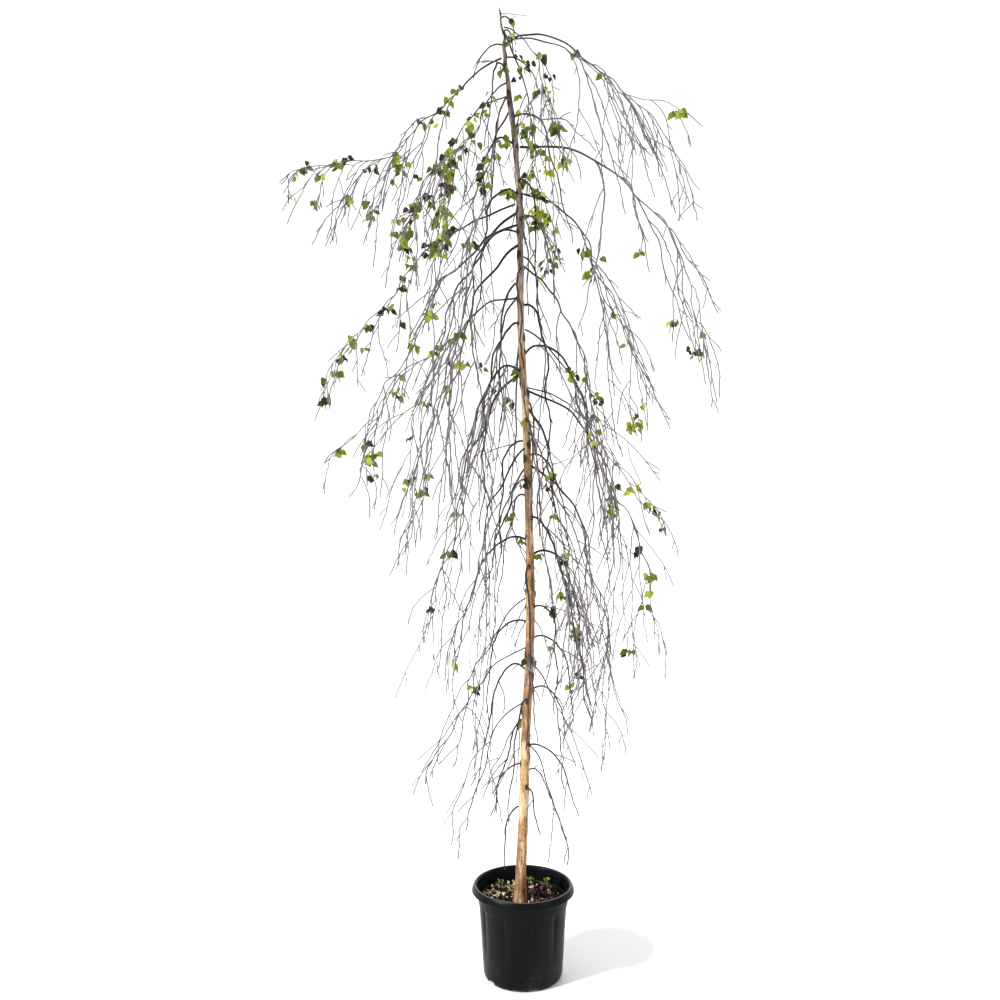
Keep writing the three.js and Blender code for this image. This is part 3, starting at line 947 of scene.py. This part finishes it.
class BIRCH_OT_pot(bpy.types.Operator):
    """Model the nursery pot with its rolled rim, skirt, moulded panels and drainage notches"""

    bl_idname = "birch.pot"
    bl_label = "Pot"
    bl_options = {"REGISTER", "UNDO"}

    PER_PANEL = 16  # corners round the pot for each panel
    SKIRT = 0.025  # height of the skirt under the rim
    WALL = 0.003
    THICK = 0.0105  # the wall with its panels, below the mix
    HEEL_TOP = 0.034
    PANEL_FOOT = 0.062
    PANEL_TOP = 0.267
    PANEL_FADE = 0.12  # over this height above their foot the panels come to their full depth
    GROOVE_AT = math.radians(279)  # bearing of one of the grooves
    NOTCH_AT = math.radians(69.5)  # bearing of one of the notches

    def execute(self, context):
        pot = context.scene.birch.pot
        count = pot.panels * self.PER_PANEL
        radius, height = pot.base - 0.003, 0.0
        piece = ring_points(radius, count, (0, 0, 0))
        for next_radius, next_height in self.outline(pot):
            draw_out((0, 0, next_height - height), next_radius / radius, (0, 0, 0))
            radius, height = next_radius, next_height
        self.press_panels(pot)
        close_up(math.radians(32))
        add_modifier(piece, "BEVEL", width=0.0007, segments=2, limit_method="ANGLE",
                     angle_limit=math.radians(24))
        self.cut_notches(piece, pot)
        take_up(piece)
        bpy.ops.object.shade_smooth_by_angle(angle=math.radians(32))
        settle(piece, "nursery_pot", "pot", plastic_finish(pot))
        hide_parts("pot")
        return {"FINISHED"}

    def outline(self, pot):
        """Radius and height of each ring: up the outside, over the rim and down the inside."""
        top = pot.height
        skirt_foot = top - self.SKIRT

        def wall(height):
            return pot.heel + (pot.neck - pot.heel) * (height - self.HEEL_TOP) / (skirt_foot - self.HEEL_TOP)

        rise = pot.heel - pot.base
        heel = [(pot.base - 0.0008, 0), (pot.base, 0.0009)]
        heel += [
            (pot.base + rise * math.sin(turn), self.HEEL_TOP * (1 - math.cos(turn)))
            for turn in (0.35, 0.6, 0.85, 1.1, 1.34, math.pi / 2)
        ]
        outside = [(wall(z), z) for z in (0.05, self.PANEL_FOOT, 0.12, 0.17, 0.22, self.PANEL_TOP)]
        outside += [(wall(z), z) for z in (0.285, skirt_foot - 0.004)]
        outside += [(pot.neck + 0.0015, skirt_foot), (pot.neck + 0.003, top - 0.012)]
        skirt = [(pot.skirt - 0.007, skirt_foot + 0.004), (pot.skirt - 0.0032, skirt_foot + 0.0004)]
        skirt += [(pot.skirt - 0.0010, skirt_foot), (pot.skirt, skirt_foot + 0.0014)]
        rim = [(pot.skirt - 0.0035, top - 0.0105), (pot.skirt - 0.0060, top - 0.0058)]
        rim += [(pot.skirt - 0.0085, top - 0.0020), (pot.skirt - 0.0108, top - 0.0002)]
        rim += [(pot.skirt - 0.0135, top - 0.0003), (pot.skirt - 0.0158, top - 0.0022)]
        inside = [(pot.neck + 0.0015, top - 0.0065), (wall(skirt_foot) - self.WALL, skirt_foot)]
        inside += [(wall(z) - self.WALL, z) for z in (0.295, 0.285)]
        inside += [(wall(z) - self.THICK, z) for z in (0.275, 0.20, 0.10, 0.05)]
        bottom = [(pot.heel - 0.012, 0.03), (pot.base - 0.010, 0.008), (pot.base - 0.02, 0.006)]
        return heel + outside + skirt + rim + inside + bottom

    def press_panels(self, pot):
        """Insets the belt of panels and presses it in, deepest in the groove between two panels."""
        bpy.ops.mesh.select_all(action="DESELECT")
        bpy.ops.object.mode_set(mode="OBJECT")
        mesh = bpy.context.object.data
        for face in mesh.polygons:
            x, y, z = face.center
            outside = math.hypot(x, y) > pot.heel - 0.001 and face.normal.x * x + face.normal.y * y > 0
            face.select = outside and self.PANEL_FOOT < z < self.PANEL_TOP
        bpy.ops.object.mode_set(mode="EDIT")
        bpy.ops.mesh.inset(thickness=0.0014, depth=0, use_boundary=True)
        bpy.ops.object.mode_set(mode="OBJECT")
        groups = {}
        for corner in {corner for face in mesh.polygons if face.select for corner in face.vertices}:
            x, y, z = mesh.vertices[corner].co
            turn = (math.atan2(y, x) - self.GROOVE_AT) / (2 * math.pi) * pot.panels
            from_groove = round(abs(turn - round(turn)) * self.PER_PANEL)
            groups.setdefault((round(z, 3), from_groove), set()).add(corner)
        for (height, from_groove), corners in groups.items():
            pick(mesh, corners)
            groove = (1 - math.sin(math.pi * from_groove / self.PER_PANEL)) ** 2.4
            fade = max(0, min(1, (height - self.PANEL_FOOT - 0.002) / self.PANEL_FADE))
            depth = fade * (pot.panel_depth + pot.groove_depth * groove)
            share = 1 - depth / (pot.heel + 0.01)
            bpy.ops.transform.resize(value=(share, share, 1), center_override=(0, 0, 0))

    def cut_notches(self, piece, pot):
        """Cuts the drainage notches through the heel."""
        start_clean()
        cutters = []
        for number in range(pot.notches):
            turn = number / pot.notches * 2 * math.pi + self.NOTCH_AT
            centre = (math.cos(turn) * pot.base, math.sin(turn) * pot.base, 0)
            bpy.ops.mesh.primitive_cube_add(size=1, location=centre, rotation=(0, 0, turn))
            cutter = bpy.context.object
            cutter.scale = (0.040, 0.043, 0.026)
            bpy.ops.object.transform_apply(location=False, rotation=True, scale=True)
            add_modifier(cutter, "BEVEL", width=0.004, segments=3, limit_method="NONE")
            cutters.append(cutter)
        take_up(cutters[0])
        for cutter in cutters:
            cutter.select_set(True)
        bpy.ops.object.join()
        cutter = bpy.context.object
        add_modifier(piece, "BOOLEAN", operation="DIFFERENCE", object=cutter, solver="EXACT")
        bpy.data.objects.remove(cutter)


class BIRCH_OT_potting_mix(bpy.types.Operator):
    """Fill the pot with potting mix, mounded a little round the trunk"""

    bl_idname = "birch.potting_mix"
    bl_label = "Potting mix"
    bl_options = {"REGISTER", "UNDO"}

    NECK = 0.255  # up to this height the mix keeps clear of the grooves in the pot's wall

    def execute(self, context):
        low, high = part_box("soil")
        full = (high[0] - low[0]) / 2
        radius, height = full - 0.052, low[2]
        piece = ring_points(radius, 72, (0, 0, height))
        outline = (
            (full - 0.032, low[2] + 0.03),
            (full - 0.016, self.NECK),
            (full - 0.0005, SOIL_TOP - 0.006),
            (full - 0.0045, SOIL_TOP - 0.003),
        )
        for next_radius, next_height in outline:
            draw_out((0, 0, next_height - height), next_radius / radius, (0, 0, 0))
            radius, height = next_radius, next_height
        for _ in range(14):
            bpy.ops.mesh.inset(thickness=0.0108)
        bpy.ops.mesh.poke()
        close_up(math.radians(60))
        mesh = piece.data
        for corner in mesh.vertices:
            if corner.co.z > SOIL_TOP - 0.004:
                corner.co.z += crumble(corner.co)
        take_up(piece)
        bpy.ops.object.shade_smooth()
        settle(piece, "potting_mix", "soil", mix_finish(context.scene.birch.mix))
        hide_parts("soil")
        return {"FINISHED"}


def crumble(point):
    """How far the surface of the mix stands above or below level at a point."""
    middle = Vector(trunk_at(SOIL_TOP)[0])
    away = math.hypot(point.x - middle.x, point.y - middle.y)
    rough = math.sin(point.x * 190 + 1.3) * math.sin(point.y * 230) + math.sin(point.x * 71 - point.y * 97)
    return 0.0012 * rough + 0.004 * math.exp(-((away / 0.05) ** 2))


CHIPS_REACH = 0.150  # how far from the middle of the pot the chips lie
CHIPS_CLEAR = 0.012  # and how clear of the trunk


class BIRCH_OT_mulch(bpy.types.Operator):
    """Strew bark and wood chips on the mix, with a few seedlings"""

    bl_idname = "birch.mulch"
    bl_label = "Chips and seedlings"
    bl_options = {"REGISTER", "UNDO"}

    CHIP = [
        (-0.5, -0.30, -0.14), (0.42, -0.34, -0.12), (0.52, 0.22, -0.14), (-0.36, 0.34, -0.12),
        (-0.40, -0.22, 0.14), (0.34, -0.20, 0.18), (0.38, 0.18, 0.12), (-0.30, 0.20, 0.16),
    ]
    CHIP_FACES = [(3, 2, 1, 0), (4, 5, 6, 7), (0, 1, 5, 4), (1, 2, 6, 5), (2, 3, 7, 6), (3, 0, 4, 7)]

    def execute(self, context):
        mix = context.scene.birch.mix
        chance = random.Random(mix.seed)
        middle, girth = trunk_at(SOIL_TOP)
        red, pale, crumbs = [], [], []
        for _ in range(mix.chips):
            turn = any_turn(chance)
            away = CHIPS_REACH * math.sqrt(chance.random())
            x, y = away * math.cos(turn), away * math.sin(turn)
            if math.hypot(x - middle[0], y - middle[1]) < girth + CHIPS_CLEAR:
                continue
            lift = chance.choice((0.001, 0.002, 0.004, 0.007))
            point = (x, y, SOIL_TOP - 0.003 + crumble(Vector((x, y, 0))) + lift)
            way = (chance.uniform(-1, 1), chance.uniform(-1, 1), chance.uniform(-0.5, 0.5))
            pale_share = 0.42 if x < 0 and y > -0.02 else 0.07
            heap, length = chance.choices(
                ((pale, 0.017), (red, 0.015), (crumbs, 0.013)), (pale_share, 0.40 - pale_share * 0.5, 0.55)
            )[0]
            heap.append((point, axes_along(way, chance.uniform(0, 6.3)), length * chance.uniform(0.4, 1.1)))
        looks = (
            ("bark_chips", red, chip_finish("bark_chip", mix.bark, 0.25)),
            ("wood_chips", pale, chip_finish("wood_chip", mix.wood, 0.45)),
            ("crumbs", crumbs, chip_finish("crumb", (0.016, 0.011, 0.009), 0.3)),
        )
        for name, places, finish in looks:
            piece = mesh_of(name, *copies(self.CHIP, self.CHIP_FACES, places))
            add_modifier(piece, "BEVEL", width=0.0005, segments=1, limit_method="NONE")
            settle(piece, name, "soil", finish)
        self.seedlings(chance)
        return {"FINISHED"}

    def seedlings(self, chance):
        """Low tufts of small round leaves."""
        shape, faces = leaf_shape()
        places, stems = [], []
        tufts = ((-0.085, 0.095), (-0.045, 0.04), (0.034, 0.115), (0.095, 0.10))
        for x, y in tufts:
            for _ in range(5):
                foot = Vector((x, y, SOIL_TOP)) + sideways(chance) * 0.014
                tip = foot + sideways(chance) * 0.006 + UP * 0.022
                bend = (foot + tip) / 2 + Vector((0.001, 0, 0))
                stems.append(([foot, bend, tip], (0.0007, 0.0006, 0.0004)))
                for _ in range(3):
                    way = (chance.uniform(-1, 1), chance.uniform(-1, 1), chance.uniform(0.0, 0.8))
                    axes = axes_along(way, chance.uniform(-0.4, 0.4))
                    places.append((tip, axes, chance.uniform(0.007, 0.012)))
        corners, leaf_faces = copies(shape, faces, places)
        stem_corners, stem_faces = tubes(stems, 4)
        joined = leaf_faces + [tuple(c + len(corners) for c in face) for face in stem_faces]
        piece = mesh_of("seedlings", np.vstack([corners, stem_corners]), joined)
        settle(piece, "seedlings", "leaf", leaf_finish("seedling_green", (0.26, 0.34, 0.10), 0.5))


class BIRCH_OT_trunk(bpy.types.Operator):
    """Draw the trunk up from its root flare and give it peeling bark and branch collars"""

    bl_idname = "birch.trunk"
    bl_label = "Trunk"
    bl_options = {"REGISTER", "UNDO"}

    BURIED = 0.015  # how far its foot goes on below the surface of the mix

    def execute(self, context):
        bark = context.scene.birch.bark
        centres, radii = spline(TRUNK_LINE, TRUNK_RADII, 0.05)
        centres = np.vstack([centres[0] - (0, 0, self.BURIED), centres])
        radii = np.concatenate([radii[:1], radii])
        piece = ring_points(radii[0], 24, tuple(centres[0]))
        for i in range(1, len(centres)):
            draw_out(tuple(centres[i] - centres[i - 1]), radii[i] / radii[i - 1], tuple(centres[i]))
        close_up(math.radians(60))
        add_modifier(piece, "SUBSURF", levels=2, render_levels=2)
        self.relieve(piece, bark.relief)
        self.collar(piece)
        take_up(piece)
        bpy.ops.object.shade_smooth()
        settle(piece, "trunk_bark", "bark", trunk_finish(bark))
        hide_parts("trunk")
        return {"FINISHED"}

    def relieve(self, piece, depth):
        """Raises the flakes: broad swellings, then curled strips that lie round the trunk."""
        for label, scale, stretch, share in (("swellings", 0.06, 2.6, 1.3), ("strips", 0.011, 0.42, 1.0)):
            bpy.ops.object.empty_add(location=(0, 0, 0))
            guide = bpy.context.object
            guide.scale = (scale, scale, scale * stretch)
            bpy.context.view_layer.update()
            texture = bpy.data.textures.new(label, "CLOUDS")
            texture.noise_scale = 1.0
            texture.noise_depth = 3
            add_modifier(piece, "DISPLACE", texture=texture, texture_coords="OBJECT",
                         texture_coords_object=guide, strength=depth * share, mid_level=0.5)
            bpy.data.objects.remove(guide)
            bpy.data.textures.remove(texture)

    def collar(self, piece):
        """Swells the bark round each bough and shoot and marks it for the dark scar."""
        mesh = piece.data
        corners = corners_in(mesh)
        scar = np.zeros(len(corners))
        limbs, main, _, _ = grow(bpy.context.scene.birch.twigs.seed)
        joints = [(limb.line[3], 0.016) for limb in limbs]
        joints += [(np.array(shoot.line[1]), 0.010) for shoot in main]
        for point, width in joints:
            middle, girth = trunk_at(point[2])
            out = point - middle
            out /= np.linalg.norm(out)
            spot = middle + out * girth
            away = np.linalg.norm((corners - spot) * (1, 1, 0.8), axis=1)
            near = np.exp(-((away / width) ** 2))
            corners += near[:, None] * out * width * 0.25
            scar = np.maximum(scar, near)
        mesh.vertices.foreach_set("co", corners.reshape(-1))
        store(mesh, "scar", scar)
        mesh.update()


class BIRCH_OT_boughs(bpy.types.Operator):
    """Draw the arching boughs and the leading shoots that carry them on to their tips"""

    bl_idname = "birch.boughs"
    bl_label = "Boughs"
    bl_options = {"REGISTER", "UNDO"}

    def execute(self, context):
        limbs, main, _, _ = grow(context.scene.birch.twigs.seed)
        strands = [(limb.line, limb.radii) for limb in limbs]
        strands += [shoot.smooth() for shoot in main]
        start_clean()
        bpy.ops.curve.primitive_bezier_curve_add(location=(0, 0, 0))
        curve = bpy.context.object.data
        curve.splines.clear()
        curve.dimensions = "3D"
        curve.bevel_depth = 1.0
        curve.bevel_resolution = 2
        curve.use_fill_caps = True
        for line, radii in strands:
            strand = curve.splines.new("POLY")
            strand.points.add(len(line) - 1)
            for point, place, radius in zip(strand.points, line, radii):
                point.co = (*place, 1)
                point.radius = radius
        bpy.ops.object.convert(target="MESH")
        piece = bpy.context.object
        texture = bpy.data.textures.new("knots", "CLOUDS")
        texture.noise_scale = 0.012
        add_modifier(
            piece, "DISPLACE", texture=texture, texture_coords="LOCAL", strength=0.0012, mid_level=0.5
        )
        bpy.data.textures.remove(texture)
        self.measure(piece.data)
        take_up(piece)
        bpy.ops.object.shade_smooth()
        settle(piece, "boughs", "bough", bough_finish(context.scene.birch.bark))
        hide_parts(*BOUGHS)
        return {"FINISHED"}

    def measure(self, mesh):
        """Stores how far each corner is from the middle of the trunk."""
        corners = corners_in(mesh)
        x, y = trunk_middle(corners[:, 2])
        store(mesh, "away", np.hypot(corners[:, 0] - x, corners[:, 1] - y))


class BIRCH_OT_twigs(bpy.types.Operator):
    """Grow the hanging side shoots, the fine twigs and their buds"""

    bl_idname = "birch.twigs"
    bl_label = "Twigs and buds"
    bl_options = {"REGISTER", "UNDO"}

    def execute(self, context):
        twigs = context.scene.birch.twigs
        _, main, side, fine = grow(twigs.seed)
        shoot_bark = twig_finish("side_shoot_bark", twigs.shoot, (0.25, 0.225, 0.235))
        twig_bark = twig_finish("fine_twig_bark", twigs.twig, (0.30, 0.275, 0.285))
        piece = mesh_of("side_shoots", *tubes([one.smooth() for one in side], 6))
        piece.data.shade_smooth()
        settle(piece, "side_shoots", "twigs", shoot_bark)
        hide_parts(*MASSES)
        half = len(fine) // 2
        for number, part in enumerate((fine[:half], fine[half:]), 1):
            name = f"fine_twigs_{number}"
            piece = mesh_of(name, *tubes([one.smooth() for one in part], 5))
            piece.data.shade_smooth()
            settle(piece, name, "twigs", twig_bark)
        self.buds(main + side + fine, twigs)
        return {"FINISHED"}

    def buds(self, shoots, twigs):
        """One bud at each tip and at many of the joints."""
        chance = random.Random(twigs.seed + 1)
        places = []
        for shoot in shoots:
            for index in range(1, len(shoot.line) - 1):
                if chance.random() < 0.5:
                    way = (shoot.line[index + 1] - shoot.line[index]).normalized()
                    way += level_way(any_turn(chance)) * 0.7
                    length = twigs.bud_length * chance.uniform(0.6, 1.1)
                    places.append((shoot.line[index], axes_along(way, 0), length))
            way = shoot.line[-1] - shoot.line[-2]
            places.append((shoot.line[-1] - way * 0.05, axes_along(way, 0), twigs.bud_length))
        piece = mesh_of("buds", *copies(BUD, BUD_FACES, places))
        piece.data.shade_smooth()
        settle(piece, "buds", "twigs", twig_finish("bud_scales", twigs.bud, (0.11, 0.075, 0.06)))


class BIRCH_OT_leaves(bpy.types.Operator):
    """Hang the few leaves that are left, spray by spray, each spray in one tone"""

    bl_idname = "birch.leaves"
    bl_label = "Leaves"
    bl_options = {"REGISTER", "UNDO"}

    # The fullest sprigs: height, bearing in degrees, how far out from the bark, how many leaves and tone.
    SPRIGS = (
        (3.60, 355, 0.050, 3, "green"), (3.44, 325, 0.035, 8, "green"), (3.42, 340, 0.120, 10, "green"),
        (3.38, 215, 0.020, 4, "dark"), (3.33, 215, 0.035, 5, "green"), (3.06, 215, 0.040, 12, "lime"),
        (2.99, 325, 0.040, 5, "green"), (2.94, 215, 0.035, 8, "lime"), (2.88, 225, 0.030, 4, "dark"),
        (2.89, 325, 0.060, 12, "green"), (2.84, 325, 0.085, 16, "lime"), (2.79, 325, 0.090, 10, "green"),
        (2.24, 280, 0.030, 6, "green"), (2.13, 215, 0.045, 5, "green"), (2.02, 235, 0.020, 4, "lime"),
        (1.87, 330, 0.060, 6, "green"), (1.80, 275, 0.020, 4, "dark"), (1.72, 250, 0.030, 5, "green"),
        (1.62, 225, 0.030, 4, "green"), (1.57, 260, 0.020, 4, "green"), (1.44, 300, 0.030, 4, "lime"),
        (1.21, 240, 0.020, 4, "green"), (0.92, 205, 0.050, 5, "green"), (2.32, 0, 0.620, 8, "green"),
        (2.41, 0, 0.690, 3, "green"), (2.70, 0, 0.430, 5, "lime"), (2.72, 355, 0.170, 8, "green"),
        (2.26, 350, 0.200, 8, "green"), (1.36, 350, 0.070, 7, "green"), (1.28, 355, 0.160, 12, "green"),
        (1.20, 0, 0.380, 6, "green"), (2.17, 180, 0.480, 8, "green"), (1.84, 180, 0.600, 5, "green"),
    )

    def execute(self, context):
        settings = context.scene.birch.leaves
        chance = random.Random(settings.seed)
        limbs, main, side, fine = grow(context.scene.birch.twigs.seed)
        tones = {"lime": [], "green": [], "dark": [], "dry": []}
        for limb in limbs:
            leafy, begin, _ = habit(limb.name)
            reach = begin * limb.length
            while reach < limb.length:
                node = limb.line[int(reach / limb.JOINT)]
                node = Vector(node) + anywhere(chance) * 0.02
                if chance.random() < leafy * settings.amount:
                    self.spray(node, chance.choice((2, 4, 5, 7)), tones, settings, chance)
                reach += chance.uniform(0.03, 0.07)
        for shoot in side + fine:
            leafy, begin, _ = habit(shoot.bough)
            rate = leafy * settings.amount * (0.5 if shoot.order == 1 else 0.13)
            if shoot.share < begin or chance.random() > rate:
                continue
            last = max(2, round(len(shoot.line) * 0.8))
            for index in chance.sample(range(1, last), min(last - 1, chance.choice((1, 2, 3)))):
                self.spray(shoot.line[index], chance.choice((2, 3, 4, 6)), tones, settings, chance)
        joints = np.array([point for shoot in main + side + fine for point in shoot.line[1:]])
        for height, bearing, reach, count, tone in self.SPRIGS:
            middle, girth = trunk_at(height)
            turn = math.radians(bearing)
            spot = middle + np.array((math.cos(turn), math.sin(turn), 0)) * (girth + reach)
            joint = joints[np.argmin(np.linalg.norm(joints - spot, axis=1))]
            self.spray(joint, count, tones, settings, chance, tone)
        shape, faces = leaf_shape()
        for tone, places in tones.items():
            name = f"{tone}_leaves"
            piece = mesh_of(name, *copies(shape, faces, places))
            piece.data.shade_smooth()
            finish = leaf_finish(f"{tone}_leaf", getattr(settings, tone), 0.75 if tone == "dry" else 0.42)
            settle(piece, name, "leaf", finish)
        return {"FINISHED"}

    def spray(self, node, count, tones, settings, chance, tone=None):
        """A few leaves round one node, most of them in one tone."""
        # Mixing lime and dark green leaves into a spray paints its light and shade, as well as the leaves'
        # own colours.
        tone = tone or chance.choices(("lime", "green", "dark", "dry"), (0.32, 0.41, 0.22, 0.05))[0]
        others = {"lime": ("green",), "green": ("lime", "dark", "dark"), "dark": ("green",), "dry": ("dry",)}
        spread = 0.005 + 0.0012 * count
        for _ in range(count):
            spot = Vector(node) + anywhere(chance) * spread
            chosen = chance.choice(others[tone]) if chance.random() < 0.4 else tone
            tones[chosen].append(self.blade(spot, chosen, settings, chance))

    def blade(self, node, tone, settings, chance):
        """The place of one leaf that hangs from a node."""
        way = level_way(any_turn(chance)) * chance.uniform(0.4, 1.2) - UP
        way.normalize()
        length = settings.length * chance.uniform(0.72, 1.12)
        if tone == "dry":
            length *= 0.85
        return Vector(node) + way * length * 0.42, axes_along(way, any_turn(chance)), length


class BIRCH_OT_stage(bpy.types.Operator):
    """Set the pale floor and backdrop, the soft lights and the camera"""

    bl_idname = "birch.stage"
    bl_label = "Stage"
    bl_options = {"REGISTER", "UNDO"}

    LIGHTS = (
        # name, place, aim, width, height and share of the fill light's power
        ("fill", (3.6, -3.2, 2.4), (0, 0, 1.6), 2.5, 2.5, 0.7),
        ("back", (0.4, 3.4, 4.4), (0, 0, 1.2), 3.0, 2.0, 2.6),
    )
    SUN_FROM = (-0.80, -0.48, 0.72)

    def execute(self, context):
        stage = context.scene.birch.stage
        start_clean()
        bpy.ops.mesh.primitive_plane_add(size=1, location=(0, 0, 0))
        floor = bpy.context.object
        floor.scale = (60, 46, 1)
        floor.location = (0, -17, 0)
        bpy.ops.object.transform_apply(location=True, rotation=True, scale=True)
        back = max(corner.co.y for corner in floor.data.vertices)
        for edge in floor.data.edges:
            edge.select = all(floor.data.vertices[v].co.y > back - 0.01 for v in edge.vertices)
        for corner in floor.data.vertices:
            corner.select = corner.co.y > back - 0.01
        for face in floor.data.polygons:
            face.select = False
        bpy.ops.object.mode_set(mode="EDIT")
        bpy.ops.mesh.select_mode(type="EDGE")
        bpy.ops.mesh.extrude_region_move(TRANSFORM_OT_translate={"value": (0, 0, 12)})
        bpy.ops.object.mode_set(mode="OBJECT")
        add_modifier(floor, "BEVEL", width=3.0, segments=24, limit_method="ANGLE")
        take_up(floor)
        bpy.ops.object.shade_smooth()
        floor.name = "studio_floor"
        floor.data.materials.append(floor_finish(stage))
        for name, place, aim, width, height, share in self.LIGHTS:
            bpy.ops.object.light_add(type="AREA", location=place)
            light = bpy.context.object
            light.name = f"{name}_light"
            light.data.shape = "RECTANGLE"
            light.data.size = width
            light.data.size_y = height
            light.data.energy = stage.fill * share
            light.rotation_euler = (Vector(aim) - Vector(place)).to_track_quat("-Z", "Y").to_euler()
        bpy.ops.object.light_add(type="SUN", location=(-3, -3, 5))
        sun = bpy.context.object
        sun.name = "sun"
        sun.data.energy = stage.sun
        sun.data.angle = math.radians(7)
        sun.data.color = (1.0, 0.97, 0.92)
        sun.rotation_euler = Vector(self.SUN_FROM).to_track_quat("Z", "Y").to_euler()
        world = bpy.data.worlds.new("soft_room")
        world.use_nodes = True
        background = world.node_tree.nodes["Background"]
        background.inputs["Color"].default_value = (0.95, 0.97, 1.0, 1)
        background.inputs["Strength"].default_value = stage.sky
        context.scene.world = world
        context.scene.view_settings.view_transform = "Standard"
        bpy.ops.object.camera_add(location=(-0.0855, -3.56, 1.758), rotation=(math.pi / 2, 0, 0))
        camera = bpy.context.object
        camera.data.lens = stage.lens
        camera.data.sensor_width = 36
        context.scene.camera = camera
        return {"FINISHED"}


class BIRCH_PT_panel(bpy.types.Panel):
    """Every piece of the birch, in the order in which they are made"""

    bl_label = "Weeping Birch"
    bl_idname = "BIRCH_PT_panel"
    bl_space_type = "VIEW_3D"
    bl_region_type = "UI"
    bl_category = "Birch"

    def draw(self, context):
        birch = context.scene.birch
        groups = (
            (birch.pot, (BIRCH_OT_pot,)),
            (birch.mix, (BIRCH_OT_potting_mix, BIRCH_OT_mulch)),
            (birch.bark, (BIRCH_OT_trunk, BIRCH_OT_boughs)),
            (birch.twigs, (BIRCH_OT_twigs,)),
            (birch.leaves, (BIRCH_OT_leaves,)),
            (birch.stage, (BIRCH_OT_stage,)),
        )
        for settings, operators in groups:
            box = self.layout.box()
            for key in settings.__annotations__:
                box.prop(settings, key)
            for operator in operators:
                box.operator(operator.bl_idname)


SETTINGS = (PotSettings, MixSettings, BarkSettings, TwigSettings, LeafSettings, StageSettings, BirchSettings)
OPERATORS = (
    BIRCH_OT_stage,
    BIRCH_OT_pot,
    BIRCH_OT_potting_mix,
    BIRCH_OT_mulch,
    BIRCH_OT_trunk,
    BIRCH_OT_boughs,
    BIRCH_OT_twigs,
    BIRCH_OT_leaves,
)
CLASSES = (*SETTINGS, *OPERATORS, BIRCH_PT_panel)


def register():
    for one in CLASSES:
        bpy.utils.register_class(one)
    bpy.types.Scene.birch = PointerProperty(type=BirchSettings)


def unregister():
    del bpy.types.Scene.birch
    for one in reversed(CLASSES):
        bpy.utils.unregister_class(one)


def main():
    """Makes every piece in order."""
    register()
    for operator in OPERATORS:
        getattr(bpy.ops.birch, operator.bl_idname.split(".")[1])()
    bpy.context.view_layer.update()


if __name__ == "__main__":
    main()
